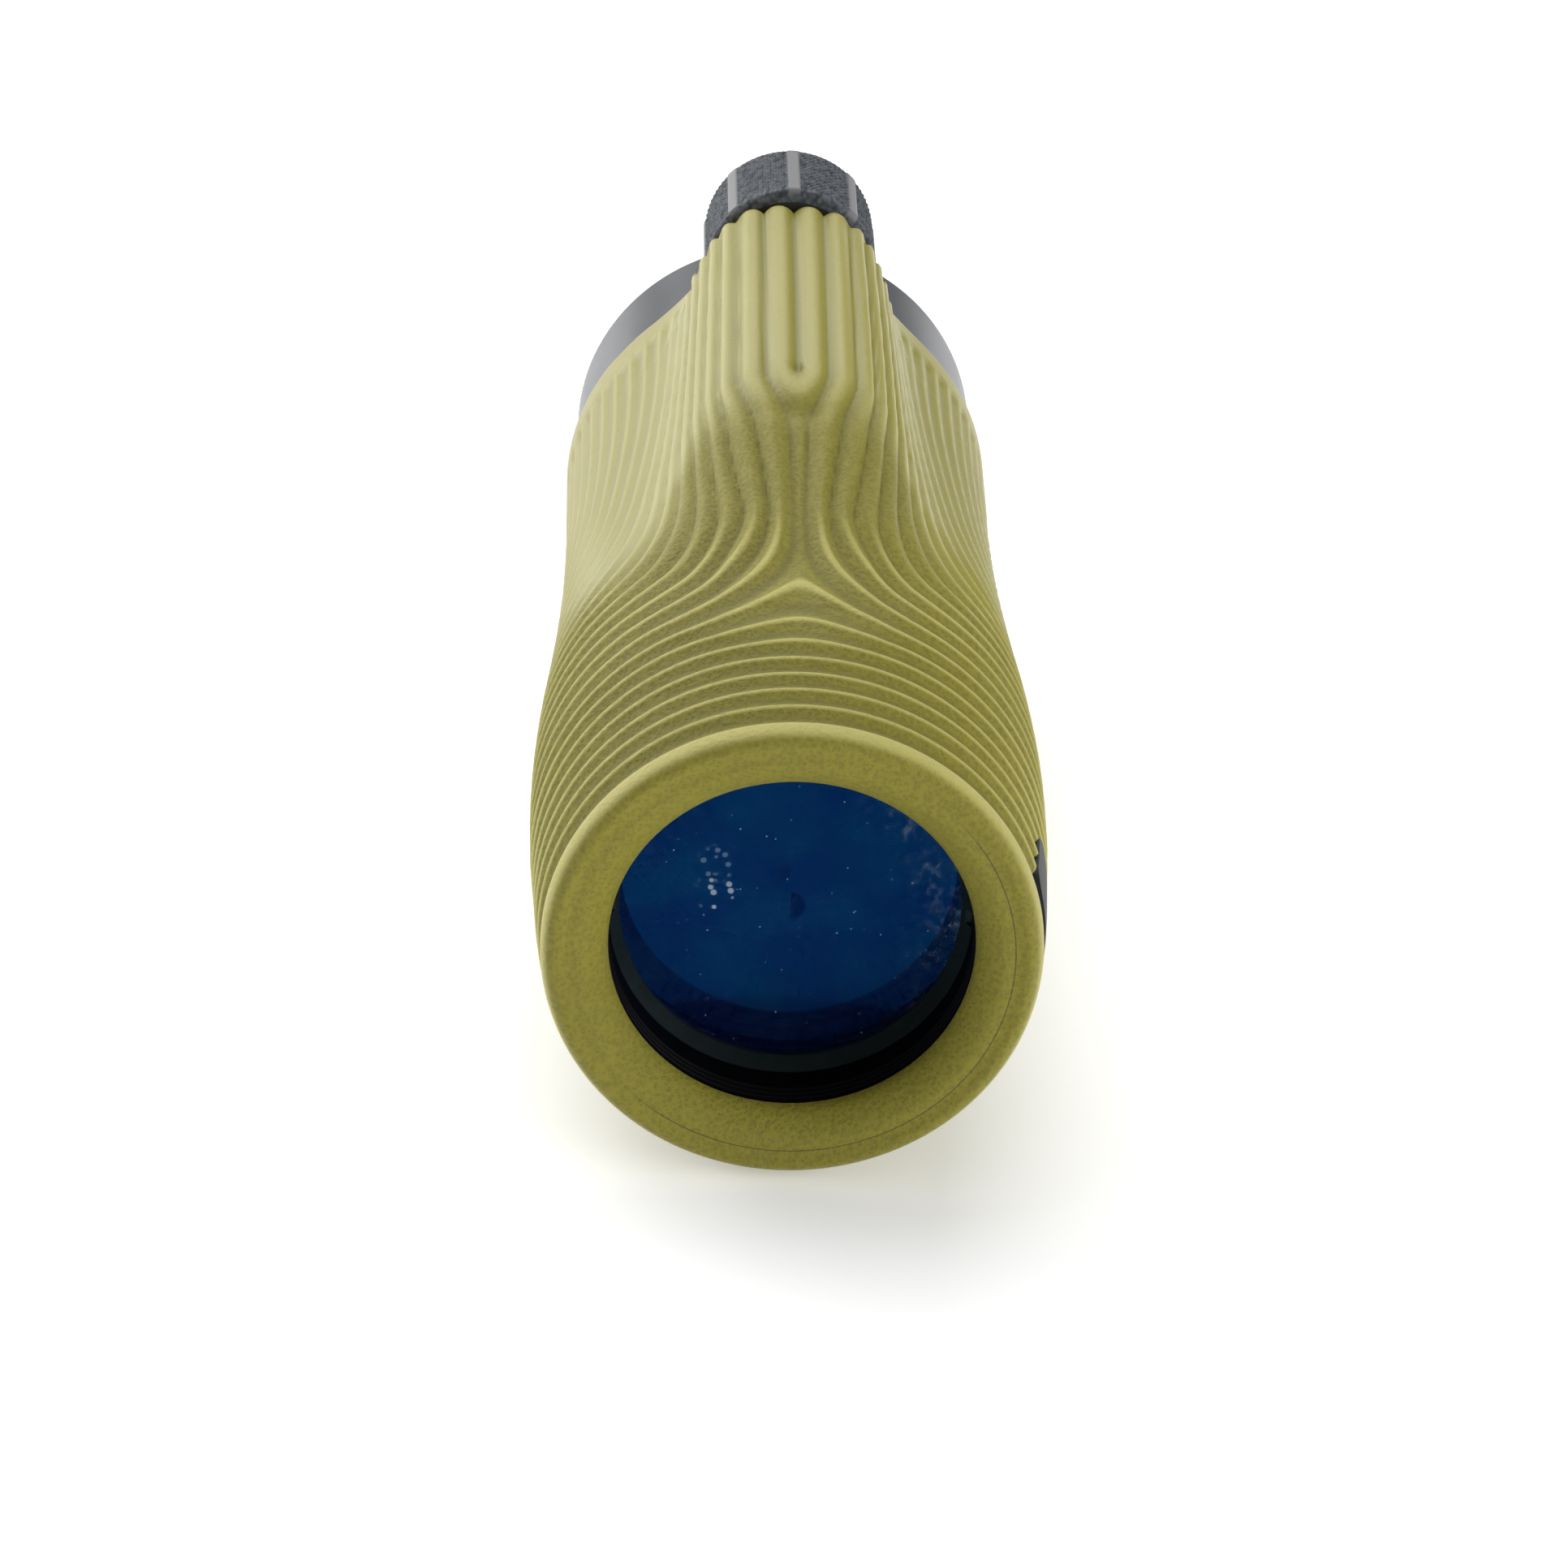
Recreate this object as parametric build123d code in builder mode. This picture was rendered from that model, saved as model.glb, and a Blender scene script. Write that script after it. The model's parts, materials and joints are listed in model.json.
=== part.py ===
"""Waterproof roof-prism monocular: ribbed rubber armour, internal focusing by a knob on top, twist-up eyecup.

Frame: +Z up, objective towards -Y, eyecup towards +Y, origin under the middle of the body on the flat it
stands on. Most pieces are turned about the optical axis, so they are drawn as (station, radius) points, where
station 0 is the front lip and stations grow towards the eye.
"""

import os
from math import cos, radians, sin, sqrt

from build123d import *

os.makedirs("parts", exist_ok=True)

# ---- Driving dimensions, in millimetres ----
LENGTH = 120.0  # front lip to eyecup rim, eyecup down
AXIS_Z = 23.4  # optical axis above the flat underside
KNOB_RISE = 28.0  # focus shaft above the optical axis
FRONT_Y = -LENGTH / 2

LIP_PLANE = 3.0  # where the lip of the armour meets the front of the housing
BORE_R = 16.4  # clear bore in front of the objective
CLEAR_R = 15.5  # clear radius of the objective
RING_START, RING_END, RING_R = 8.7, 10.7, 18.05  # the ring that holds the objective
ARMOUR_END = 104.4  # rear edge of the armour
HUMP_END = 94.0  # rear face of the hump, in front of the knob

KNOB_R = 8.75
KNOB_FRONT, KNOB_REAR = 94.4, 106.2
KNOB_POCKET_R = 9.1
SHAFT_R = 2.0
RUNNING = 0.06  # radial clearance of a turning shaft

EYECUP_TRAVEL, EYECUP_TURN = 6.0, 75.0  # millimetres raised by this many degrees
EYECUP_FRONT, EYECUP_R = 107.0, 20.9
GUIDE_R = 17.0  # eyepiece barrel where the eyecup slides

HOUSING_FRONT_R, HOUSING_REAR_R = 21.0, 19.9
HOUSING_BORE_R = 17.6
HOUSING_END = 104.2
ARMOUR_SKIN = 1.3  # armour thickness over the hump

# ---- Frame helpers ----
TUBE = Plane(origin=(0, FRONT_Y, AXIS_Z), x_dir=(0, 1, 0), z_dir=(1, 0, 0))  # x is station, y is radius
TUBE_AXIS = Axis((0, FRONT_Y, AXIS_Z), (0, 1, 0))
SHAFT = Plane(origin=(0, FRONT_Y, AXIS_Z + KNOB_RISE), x_dir=(0, 1, 0), z_dir=(1, 0, 0))
SHAFT_AXIS = Axis((0, FRONT_Y, AXIS_Z + KNOB_RISE), (0, 1, 0))


def across(station, rise=0.0):
    """A plane across the tube: x is the object's X, y is up from the given rise, its normal is -Y."""
    return Plane(origin=(0, FRONT_Y + station, AXIS_Z + rise), x_dir=(1, 0, 0), z_dir=(0, -1, 0))


def outline(points, plane=TUBE):
    """A face with straight sides through (station, radius) points."""
    with BuildSketch(plane) as section:
        with BuildLine():
            Polyline(*points, close=True)
        make_face()
    return section.sketch


def band(start, end, inner, outer, plane=TUBE):
    """The section of a plain ring from one station to another."""
    return outline([(start, inner), (end, inner), (end, outer), (start, outer)], plane)


def sag(curve, height):
    """How far a sphere of radius curve falls away at this height from its vertex."""
    return curve - sqrt(curve**2 - height**2)


def lens_section(rim, front, front_curve, rear, rear_curve):
    """Half the section of a lens with its vertices at stations front and rear.

    A positive curve bulges towards the eye and a negative one towards the object; None is flat.
    """

    def face_at(vertex, curve, height):
        if curve is None:
            return vertex
        return vertex - sag(curve, height) if curve > 0 else vertex + sag(-curve, height)

    def face_line(vertex, curve):
        start, middle, end = [(face_at(vertex, curve, h), h) for h in (0, rim / 2, rim)]
        if curve is None:
            Line(start, end)
        else:
            ThreePointArc(start, middle, end)

    with BuildSketch(TUBE) as section:
        with BuildLine():
            face_line(front, front_curve)
            face_line(rear, rear_curve)
            Line((front, 0), (rear, 0))
            Line((face_at(front, front_curve, rim), rim), (face_at(rear, rear_curve, rim), rim))
        make_face()
    return section.sketch


def save(piece, name):
    """Labels a finished piece and writes its file."""
    piece.part.label = name
    export_step(piece.part, f"parts/{name}.step")


# ---- Hump over the focus mechanism: sections across the tube ----
# station, top above the optical axis, half width, height of the rounded crown
HUMP_SECTIONS = [
    (30.0, 21.5, 5.4, 2.0),
    (36.0, 24.6, 9.0, 3.0),
    (42.0, 26.7, 10.7, 4.0),
    (48.0, 28.5, 11.1, 4.8),
    (54.0, 30.1, 10.9, 5.4),
    (60.0, 31.5, 10.6, 5.9),
    (66.0, 32.6, 10.3, 6.2),
    (72.0, 33.5, 10.1, 6.5),
    (79.0, 34.4, 9.8, 6.7),
    (86.0, 35.0, 9.6, 7.0),
    (HUMP_END, 35.4, 9.3, 7.2),
]
CHEEK_SECTION = (ARMOUR_END, 25.5, 10.4, 3.0)  # the armour runs on beside the knob down to this section
HUMP_BASE, HUMP_FLARE = 8.0, 4.0  # level of the foot of the hump, and how much wider it is there


def hump_section(station, top, half, crown, skin):
    """One section of the hump, drawn skin inside the outer surface."""
    top, half, crown = top - skin, half - 1.5 * skin, crown - skin / 2
    foot = half + HUMP_FLARE
    with BuildSketch(across(station)) as section:
        with BuildLine():
            EllipticalCenterArc((0, top - crown), half, crown, start_angle=0, arc_size=180)
            Polyline((-half, top - crown), (-foot, HUMP_BASE), (foot, HUMP_BASE), (half, top - crown))
        make_face()
    return section.sketch


# ---- Housing: one moulding under the armour, with the hump's core split off as a cover ----
COVER_START, COVER_RISE = 42.0, 24.0  # the cover is the core of the hump above this rise
CHANNEL_HALF, CHANNEL_FLOOR, CHANNEL_ROOF = 2.8, 21.5, 25.0
CHANNEL_START, SLOT_END = 44.2, 57.6
CHAMBER_START, CHAMBER_END, CHAMBER_HALF, CHAMBER_ROOF = 73.2, 86.5, 4.0, 30.9
SHAFT_START = 70.0
SEAL_START, SEAL_END, SEAL_R = 90.0, 91.6, 3.2
TRIPOD_STATION, TRIPOD_BOSS_R, TRIPOD_R, TRIPOD_THREAD_R = 66.0, 6.3, 4.6, 2.6
TRIPOD_TOP, TRIPOD_FACE, TRIPOD_DEPTH = 5.4, 0.2, 4.8
STRAP_STATION, STRAP_HALF, EAR_THICK, STRAP_RISE, STRAP_R = 96.0, 4.4, 1.6, 1.7, 0.9
STRAP_POCKET = 8.0
EAR_START, EAR_END = STRAP_STATION - STRAP_POCKET / 2, STRAP_STATION + STRAP_POCKET / 2
SCREW_STATIONS, SCREW_X = (68.0, 90.6), 4.7
SCREW_SHANK_R, SCREW_HEAD_R, SCREW_HEAD = 0.8, 1.4, 0.8
SCREW_TOPS = {68.0: 29.2, 90.6: 30.4}
SCREW_LENGTH = 8.5


def on_table(station, x=0.0, height=0.0):
    """A level plane at this station and height above the table."""
    return Plane(origin=(x, FRONT_Y + station, height))


with BuildPart() as hump_core:
    loft([hump_section(*row, ARMOUR_SKIN) for row in HUMP_SECTIONS], ruled=True)

with BuildPart() as hull:  # everything the armour is moulded over
    revolve(
        outline(
            [
                (LIP_PLANE + 0.1, 0),
                (LIP_PLANE + 0.1, HOUSING_FRONT_R),
                (44, HOUSING_FRONT_R),
                (58, HOUSING_REAR_R),
                (HOUSING_END, HOUSING_REAR_R),
                (HOUSING_END, 0),
            ]
        ),
        axis=TUBE_AXIS,
    )
    add(hump_core.part)
    with BuildSketch(on_table(TRIPOD_STATION, height=0.8)):
        Circle(TRIPOD_BOSS_R)
    extrude(amount=AXIS_Z / 2)
    for side in (-1, 1):
        with BuildSketch(on_table(STRAP_STATION, side * (STRAP_HALF + EAR_THICK / 2), 0.6)):
            Rectangle(EAR_THICK, STRAP_POCKET)
        extrude(amount=AXIS_Z / 3)
    revolve(band(HUMP_END, HOUSING_END + 1, 0, KNOB_POCKET_R, SHAFT), axis=SHAFT_AXIS, mode=Mode.SUBTRACT)

# The hollows of the housing, from the lip to the eyepiece.
with BuildPart() as hollows:
    revolve(
        outline(
            [
                (LIP_PLANE, 0),
                (LIP_PLANE, 19.0),
                (RING_START, 19.0),
                (RING_START, RING_R + 0.05),
                (12.1, RING_R + 0.05),
                (12.1, 17.25),
                (14.5, 17.25),
                (14.5, 18.0),
                (16.0, 18.0),
                (16.0, 17.25),
                (18.15, 17.25),
                (18.15, 16.2),
                (20.5, 16.2),
                (20.5, HOUSING_BORE_R),
                (88.0, HOUSING_BORE_R),
                (88.0, 17.9),
                (HOUSING_END + 1, 17.9),
                (HOUSING_END + 1, 0),
            ]
        ),
        axis=TUBE_AXIS,
    )
    with BuildSketch(across(CHANNEL_START)):  # the slot the drive arm comes up through
        with Locations((0, CHANNEL_ROOF)):
            Rectangle(2 * CHANNEL_HALF, CHANNEL_ROOF - 10, align=(Align.CENTER, Align.MAX))
    extrude(amount=-(SLOT_END - CHANNEL_START))
    with BuildSketch(across(CHANNEL_START)):
        with Locations((0, CHANNEL_ROOF)):
            Rectangle(2 * CHANNEL_HALF, CHANNEL_ROOF - CHANNEL_FLOOR, align=(Align.CENTER, Align.MAX))
    extrude(amount=-(CHAMBER_END - CHANNEL_START))
    with BuildSketch(across(CHAMBER_START)):
        with Locations((0, CHAMBER_ROOF)):
            Rectangle(2 * CHAMBER_HALF, CHAMBER_ROOF - CHANNEL_FLOOR, align=(Align.CENTER, Align.MAX))
    extrude(amount=-(CHAMBER_END - CHAMBER_START))
    revolve(band(SHAFT_START - 0.2, HUMP_END + 1, 0, SHAFT_R + RUNNING, SHAFT), axis=SHAFT_AXIS)
    revolve(band(SEAL_START, SEAL_END, 0, SEAL_R, SHAFT), axis=SHAFT_AXIS)


def cover_screw_solids(head_extra=0.0, grow=0.0):
    """Adds the four cover screws, or with head_extra and grow the holes that clear them."""
    for station in SCREW_STATIONS:
        top = AXIS_Z + SCREW_TOPS[station]
        for side in (-1, 1):
            place = Plane(origin=(side * SCREW_X, FRONT_Y + station, top))
            with Locations(place.offset(-SCREW_HEAD)):
                head = (Align.CENTER, Align.CENTER, Align.MIN)
                Cylinder(SCREW_HEAD_R + grow, SCREW_HEAD + head_extra, align=head)
            with Locations(place.offset(-SCREW_HEAD)):
                Cylinder(
                    SCREW_SHANK_R,
                    SCREW_LENGTH - SCREW_HEAD,
                    align=(Align.CENTER, Align.CENTER, Align.MAX),
                )


with BuildPart() as screw_holes:
    cover_screw_solids(head_extra=6.0, grow=0.1)

with BuildPart() as shell:
    add(hull.part)
    add(hollows.part, mode=Mode.SUBTRACT)
    add(screw_holes.part, mode=Mode.SUBTRACT)
    with BuildSketch(on_table(TRIPOD_STATION)):
        Circle(TRIPOD_R)
    extrude(amount=TRIPOD_TOP, mode=Mode.SUBTRACT)
    strap_pin_place = Plane(origin=(0, FRONT_Y + STRAP_STATION, STRAP_RISE), z_dir=(1, 0, 0))
    with Locations(strap_pin_place):
        Cylinder(STRAP_R, 2 * (STRAP_HALF + EAR_THICK) - 0.4, mode=Mode.SUBTRACT)

with BuildPart() as cover_space:
    with Locations((0, FRONT_Y + COVER_START, AXIS_Z + COVER_RISE)):
        Box(LENGTH, LENGTH, LENGTH, align=(Align.CENTER, Align.MIN, Align.MIN))

with BuildPart() as main_housing:
    add(shell.part)
    add(cover_space.part, mode=Mode.SUBTRACT)
save(main_housing, "main_housing")

with BuildPart() as bridge_cover:
    add(shell.part)
    add(cover_space.part, mode=Mode.INTERSECT)
save(bridge_cover, "bridge_cover")

with BuildPart() as cover_screws:
    cover_screw_solids()
    for station in SCREW_STATIONS:  # cross recess
        for side in (-1, 1):
            with Locations((side * SCREW_X, FRONT_Y + station, AXIS_Z + SCREW_TOPS[station])):
                Box(1.6, 0.4, 0.9, mode=Mode.SUBTRACT)
                Box(0.4, 1.6, 0.9, mode=Mode.SUBTRACT)
save(cover_screws, "cover_screws")

# ---- Rubber armour ----
LIP_CREST, LIP_CREST_R, LIP_FRONT_R = 2.3, 22.5, 19.3
ARMOUR_CURVE = [
    (LIP_CREST, LIP_CREST_R),
    (6.3, 22.95),
    (12.5, 23.35),
    (21.0, 23.85),
    (30.0, 24.0),
    (41.7, 23.6),
    (52.0, 22.85),
    (62.6, 22.2),
    (73.0, 21.8),
    (83.5, 21.65),
    (94.0, 21.75),
    (ARMOUR_END, 21.85),
]
KEEL_HALF, KEEL_START, KEEL_END = 6.5, 10.0, 102.0
PLATE_START, PLATE_END, PLATE_HALF, PLATE_RISE = 4.2, 13.0, 7.0, 0.2
PLATE_BACK_R, PLATE_CORNER = 22.0, 2.0

with BuildPart() as armour_body:
    with BuildSketch(TUBE):
        with BuildLine():
            EllipticalCenterArc(
                (LIP_PLANE, LIP_FRONT_R), LIP_PLANE, LIP_FRONT_R - BORE_R, start_angle=180, arc_size=90
            )
            EllipticalCenterArc(
                (LIP_CREST, LIP_FRONT_R), LIP_CREST, LIP_CREST_R - LIP_FRONT_R, start_angle=90, arc_size=90
            )
            Spline(*ARMOUR_CURVE)
            Polyline(
                ARMOUR_CURVE[-1],
                (ARMOUR_END, HOUSING_REAR_R - 3),
                (LIP_PLANE, HOUSING_REAR_R - 3),
                (LIP_PLANE, BORE_R),
            )
        make_face()
    revolve(axis=TUBE_AXIS)
    loft([hump_section(*row, 0.0) for row in HUMP_SECTIONS + [CHEEK_SECTION]], ruled=True)
    with BuildSketch(on_table((KEEL_START + KEEL_END) / 2)):
        RectangleRounded(2 * KEEL_HALF, KEEL_END - KEEL_START, KEEL_HALF - 0.5)
    extrude(amount=AXIS_Z / 3)
    with Locations((0, 0, 0)):  # trims the belly to the flat it stands on
        Box(4 * BORE_R, 2 * LENGTH, 10, align=(Align.CENTER, Align.CENTER, Align.MAX), mode=Mode.SUBTRACT)
    revolve(band(HUMP_END, ARMOUR_END + 1, 0, KNOB_POCKET_R, SHAFT), axis=SHAFT_AXIS, mode=Mode.SUBTRACT)

with BuildPart() as plate_prism:
    plate_centre = (HOUSING_FRONT_R - 5, FRONT_Y + (PLATE_START + PLATE_END) / 2, AXIS_Z + PLATE_RISE)
    with BuildSketch(Plane(origin=plate_centre, x_dir=(0, 1, 0), z_dir=(1, 0, 0))):
        RectangleRounded(PLATE_END - PLATE_START, 2 * PLATE_HALF, PLATE_CORNER)
    extrude(amount=10)

with BuildPart() as side_plate:  # a plain inlay that follows the armour's side
    add(armour_body.part)
    add(plate_prism.part, mode=Mode.INTERSECT)
    revolve(band(0, PLATE_END + 5, 0, PLATE_BACK_R), axis=TUBE_AXIS, mode=Mode.SUBTRACT)
save(side_plate, "side_plate")

with BuildPart() as rubber_armour:
    add(armour_body.part)
    add(hull.part, mode=Mode.SUBTRACT)
    revolve(band(LIP_PLANE, ARMOUR_END + 1, 0, HOUSING_REAR_R - 0.01), axis=TUBE_AXIS, mode=Mode.SUBTRACT)
    add(side_plate.part, mode=Mode.SUBTRACT)
    with BuildSketch(on_table(TRIPOD_STATION)):
        Circle(TRIPOD_R)
    extrude(amount=TRIPOD_TOP, mode=Mode.SUBTRACT)
    with BuildSketch(on_table(STRAP_STATION)):
        Rectangle(2 * STRAP_HALF, STRAP_POCKET)
    extrude(amount=4.0, mode=Mode.SUBTRACT)
save(rubber_armour, "rubber_armour")

# ---- Tripod insert and strap bar in the underside ----
with BuildPart() as tripod_insert:
    with BuildSketch(on_table(TRIPOD_STATION, height=TRIPOD_FACE)):
        Circle(TRIPOD_R)
    extrude(amount=TRIPOD_TOP - TRIPOD_FACE)
    with BuildSketch(on_table(TRIPOD_STATION, height=TRIPOD_FACE)):
        Circle(TRIPOD_THREAD_R)
    extrude(amount=TRIPOD_DEPTH, mode=Mode.SUBTRACT)
save(tripod_insert, "tripod_insert")

with BuildPart() as strap_bar:
    with Locations(strap_pin_place):
        Cylinder(STRAP_R, 2 * (STRAP_HALF + EAR_THICK) - 0.4)
save(strap_bar, "strap_bar")

# ---- Objective ----
CROWN_VERTEX, CEMENT_VERTEX, FLINT_VERTEX = 10.2, 16.5, 19.0
SHROUD_END, SHROUD_R = RING_START - 0.1, 18.95
CROWN_CURVE, CEMENT_CURVE, FLINT_CURVE = 240.0, 49.0, 145.0
OBJECTIVE_RIM = 17.2
THREAD_DEPTH, THREAD_PITCH, THREAD_TURNS, THREAD_START = 0.28, 0.8, 3, 3.6

with BuildPart() as objective_shroud:
    groove_points = []
    for turn in range(THREAD_TURNS):
        start = THREAD_START + turn * THREAD_PITCH
        groove_points += [
            (start, BORE_R),
            (start + THREAD_PITCH * 0.35, BORE_R + THREAD_DEPTH),
            (start + THREAD_PITCH * 0.7, BORE_R),
        ]
    revolve(
        outline(
            [(LIP_PLANE + 0.1, BORE_R)]
            + groove_points
            + [(SHROUD_END, BORE_R), (SHROUD_END, SHROUD_R), (LIP_PLANE + 0.1, SHROUD_R)]
        ),
        axis=TUBE_AXIS,
    )
save(objective_shroud, "objective_shroud")

with BuildPart() as objective_retaining_ring:
    revolve(
        outline(
            [
                (RING_START, BORE_R),
                (RING_START, RING_R),
                (RING_END, RING_R),
                (RING_END, CLEAR_R),
                (RING_END - 0.5, CLEAR_R),
            ]
        ),
        axis=TUBE_AXIS,
    )
    with BuildSketch(across(RING_START)):  # two spanner slots
        Rectangle(60, 1.4)
    extrude(amount=-0.9, mode=Mode.SUBTRACT)
save(objective_retaining_ring, "objective_retaining_ring")

with BuildPart() as objective_front_lens:
    revolve(
        lens_section(OBJECTIVE_RIM, CROWN_VERTEX, -CROWN_CURVE, CEMENT_VERTEX, CEMENT_CURVE), axis=TUBE_AXIS
    )
save(objective_front_lens, "objective_front_lens")

with BuildPart() as objective_rear_lens:
    revolve(
        lens_section(OBJECTIVE_RIM, CEMENT_VERTEX, CEMENT_CURVE, FLINT_VERTEX, FLINT_CURVE), axis=TUBE_AXIS
    )
save(objective_rear_lens, "objective_rear_lens")

with BuildPart() as objective_seal_ring:
    revolve(band(14.6, 15.9, 17.22, 17.95), axis=TUBE_AXIS)
    fillet(objective_seal_ring.edges(), 0.3)
save(objective_seal_ring, "objective_seal_ring")

# ---- Guide rods, baffle and focusing carriage ----
ROD_X, ROD_RISE, ROD_R = 12.8, -8.2, 0.75
BAFFLE_START, BAFFLE_END = 36.0, 38.0
CELL_START, CELL_END, CELL_R = 44.0, 52.0, 17.3
CAGE_START, CAGE_END, CAGE_R = 59.0, 86.0, 17.5
ARM_HALF, ARM_START, ARM_FOOT_END = 2.4, 45.0, 51.0
ARM_FOOT, ARM_FLOOR, ARM_TOP = 15.5, 21.9, 24.6
NUT_START, NUT_END, NUT_HALF, NUT_TOP = 74.0, 80.0, 3.5, 30.5


def rod_holes(start, end, radius):
    """Cuts or adds the pair of guide rods between two stations."""
    with BuildSketch(across(start)) as rods:
        with Locations((-ROD_X, ROD_RISE), (ROD_X, ROD_RISE)):
            Circle(radius)
    return extrude(rods.sketch, amount=-(end - start), mode=Mode.PRIVATE)


with BuildPart() as guide_rods:
    add(rod_holes(BAFFLE_START, CAGE_START + 0.9, ROD_R))
save(guide_rods, "guide_rods")

with BuildPart() as light_baffle:
    revolve(band(BAFFLE_START, BAFFLE_END, 14.2, HOUSING_BORE_R - 0.05), axis=TUBE_AXIS)
    add(rod_holes(BAFFLE_START, BAFFLE_END, ROD_R), mode=Mode.SUBTRACT)
save(light_baffle, "light_baffle")

with BuildPart() as focusing_cell:
    revolve(
        outline(
            [
                (CELL_START, 11.5),
                (CELL_START + 1, 11.5),
                (CELL_START + 1, 12.55),
                (CELL_START + 5, 12.55),
                (CELL_START + 5, 13.2),
                (CELL_END, 13.2),
                (CELL_END, CELL_R),
                (CELL_START, CELL_R),
            ]
        ),
        axis=TUBE_AXIS,
    )
    add(rod_holes(CELL_START, CELL_END, ROD_R + 0.08), mode=Mode.SUBTRACT)
    with BuildSketch(across(ARM_START)):  # seat for the foot of the drive arm
        with Locations((0, ARM_FOOT)):
            Rectangle(2 * ARM_HALF, 5, align=(Align.CENTER, Align.MIN))
    extrude(amount=-(ARM_FOOT_END - ARM_START), mode=Mode.SUBTRACT)
    with Locations(*[(0, FRONT_Y + s, AXIS_Z + ARM_FOOT) for s in (46.6, 49.4)]):
        Cylinder(0.55, 1.6, align=(Align.CENTER, Align.CENTER, Align.MAX), mode=Mode.SUBTRACT)
save(focusing_cell, "focusing_cell")

with BuildPart() as focusing_lens:
    revolve(lens_section(12.5, 46.83, 45.0, 48.13, -90.0), axis=TUBE_AXIS)
save(focusing_lens, "focusing_lens")

with BuildPart() as focusing_lens_ring:
    revolve(band(49.1, 51.2, 11.6, 13.15), axis=TUBE_AXIS)
save(focusing_lens_ring, "focusing_lens_ring")

with BuildPart() as focus_drive_arm:
    extrude(
        outline(
            [
                (ARM_START, ARM_FOOT),
                (ARM_FOOT_END, ARM_FOOT),
                (ARM_FOOT_END, ARM_FLOOR),
                (NUT_END, ARM_FLOOR),
                (NUT_END, ARM_TOP),
                (ARM_START, ARM_TOP),
            ]
        ),
        amount=ARM_HALF,
        both=True,
    )
    extrude(band(NUT_START, NUT_END, ARM_FLOOR, NUT_TOP), amount=NUT_HALF, both=True)
    revolve(band(NUT_START, NUT_END, 0, SHAFT_R + RUNNING, SHAFT), axis=SHAFT_AXIS, mode=Mode.SUBTRACT)
    with Locations(*[(0, FRONT_Y + s, AXIS_Z + ARM_FOOT) for s in (46.6, 49.4)]):
        Cylinder(0.55, 1.2, align=(Align.CENTER, Align.CENTER, Align.MIN), mode=Mode.SUBTRACT)
    with Locations(*[(0, FRONT_Y + s, AXIS_Z + ARM_FOOT + 1.2) for s in (46.6, 49.4)]):
        Cylinder(1.0, 20, align=(Align.CENTER, Align.CENTER, Align.MIN), mode=Mode.SUBTRACT)
save(focus_drive_arm, "focus_drive_arm")

with BuildPart() as drive_arm_screws:
    with Locations(*[(0, FRONT_Y + s, AXIS_Z + ARM_FOOT + 1.2) for s in (46.6, 49.4)]):
        Cylinder(0.95, 0.8, align=(Align.CENTER, Align.CENTER, Align.MIN))
        Cylinder(0.5, 2.6, align=(Align.CENTER, Align.CENTER, Align.MAX))
        with Locations((0, 0, 0.8)):
            Box(1.9, 0.35, 0.5, mode=Mode.SUBTRACT)
save(drive_arm_screws, "drive_arm_screws")

# ---- Prisms: a half-penta prism and a roof prism, with a thin air gap between them ----
PRISM_HALF = 7.4
PRISM_FRONT, PRISM_BACK = 61.0, 83.4
PRISM_APERTURE = 15.0
APEX_RISE = -14.2  # where the roof prism's 45 degree face would meet its exit face
ROOF_LEG = 27.0

with BuildPart() as half_penta_prism:
    top = PRISM_APERTURE / 2
    reach = 17.6
    drop = reach * sin(radians(22.5)) / cos(radians(22.5))
    extrude(
        outline(
            [
                (PRISM_FRONT, top),
                (PRISM_FRONT, -top),
                (PRISM_FRONT + reach - 1.6, -top - drop + 0.7),
                (PRISM_FRONT + reach, -top - drop + 2.4),
                (PRISM_FRONT + reach, top - reach),
            ]
        ),
        amount=PRISM_HALF,
        both=True,
    )
save(half_penta_prism, "half_penta_prism")

with BuildPart() as roof_prism:
    leg = ROOF_LEG / sqrt(2)
    gap_face = PRISM_BACK + APEX_RISE  # station plus rise on the roof prism's 45 degree face
    cut_rise = -11.0
    ridge_front = (PRISM_BACK - leg, APEX_RISE + leg)
    ridge_back = (PRISM_BACK, APEX_RISE + ROOF_LEG)
    extrude(
        outline([(gap_face - cut_rise, cut_rise), (PRISM_BACK, cut_rise), ridge_back, ridge_front]),
        amount=PRISM_HALF,
        both=True,
    )
    ridge = Plane(
        origin=(0, FRONT_Y + ridge_front[0], AXIS_Z + ridge_front[1]),
        x_dir=(1, 0, 0),
        z_dir=(0, ridge_back[0] - ridge_front[0], ridge_back[1] - ridge_front[1]),
    )
    with BuildSketch(ridge) as roof:
        with BuildLine():
            Polyline(
                (0, 0),
                (PRISM_HALF, PRISM_HALF),
                (PRISM_HALF, 40),
                (-PRISM_HALF, 40),
                (-PRISM_HALF, PRISM_HALF),
                close=True,
            )
        make_face()
    extrude(roof.sketch, amount=40, both=True, mode=Mode.INTERSECT)
save(roof_prism, "roof_prism")

clamp_start, clamp_end = 78.0, 84.0

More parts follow.
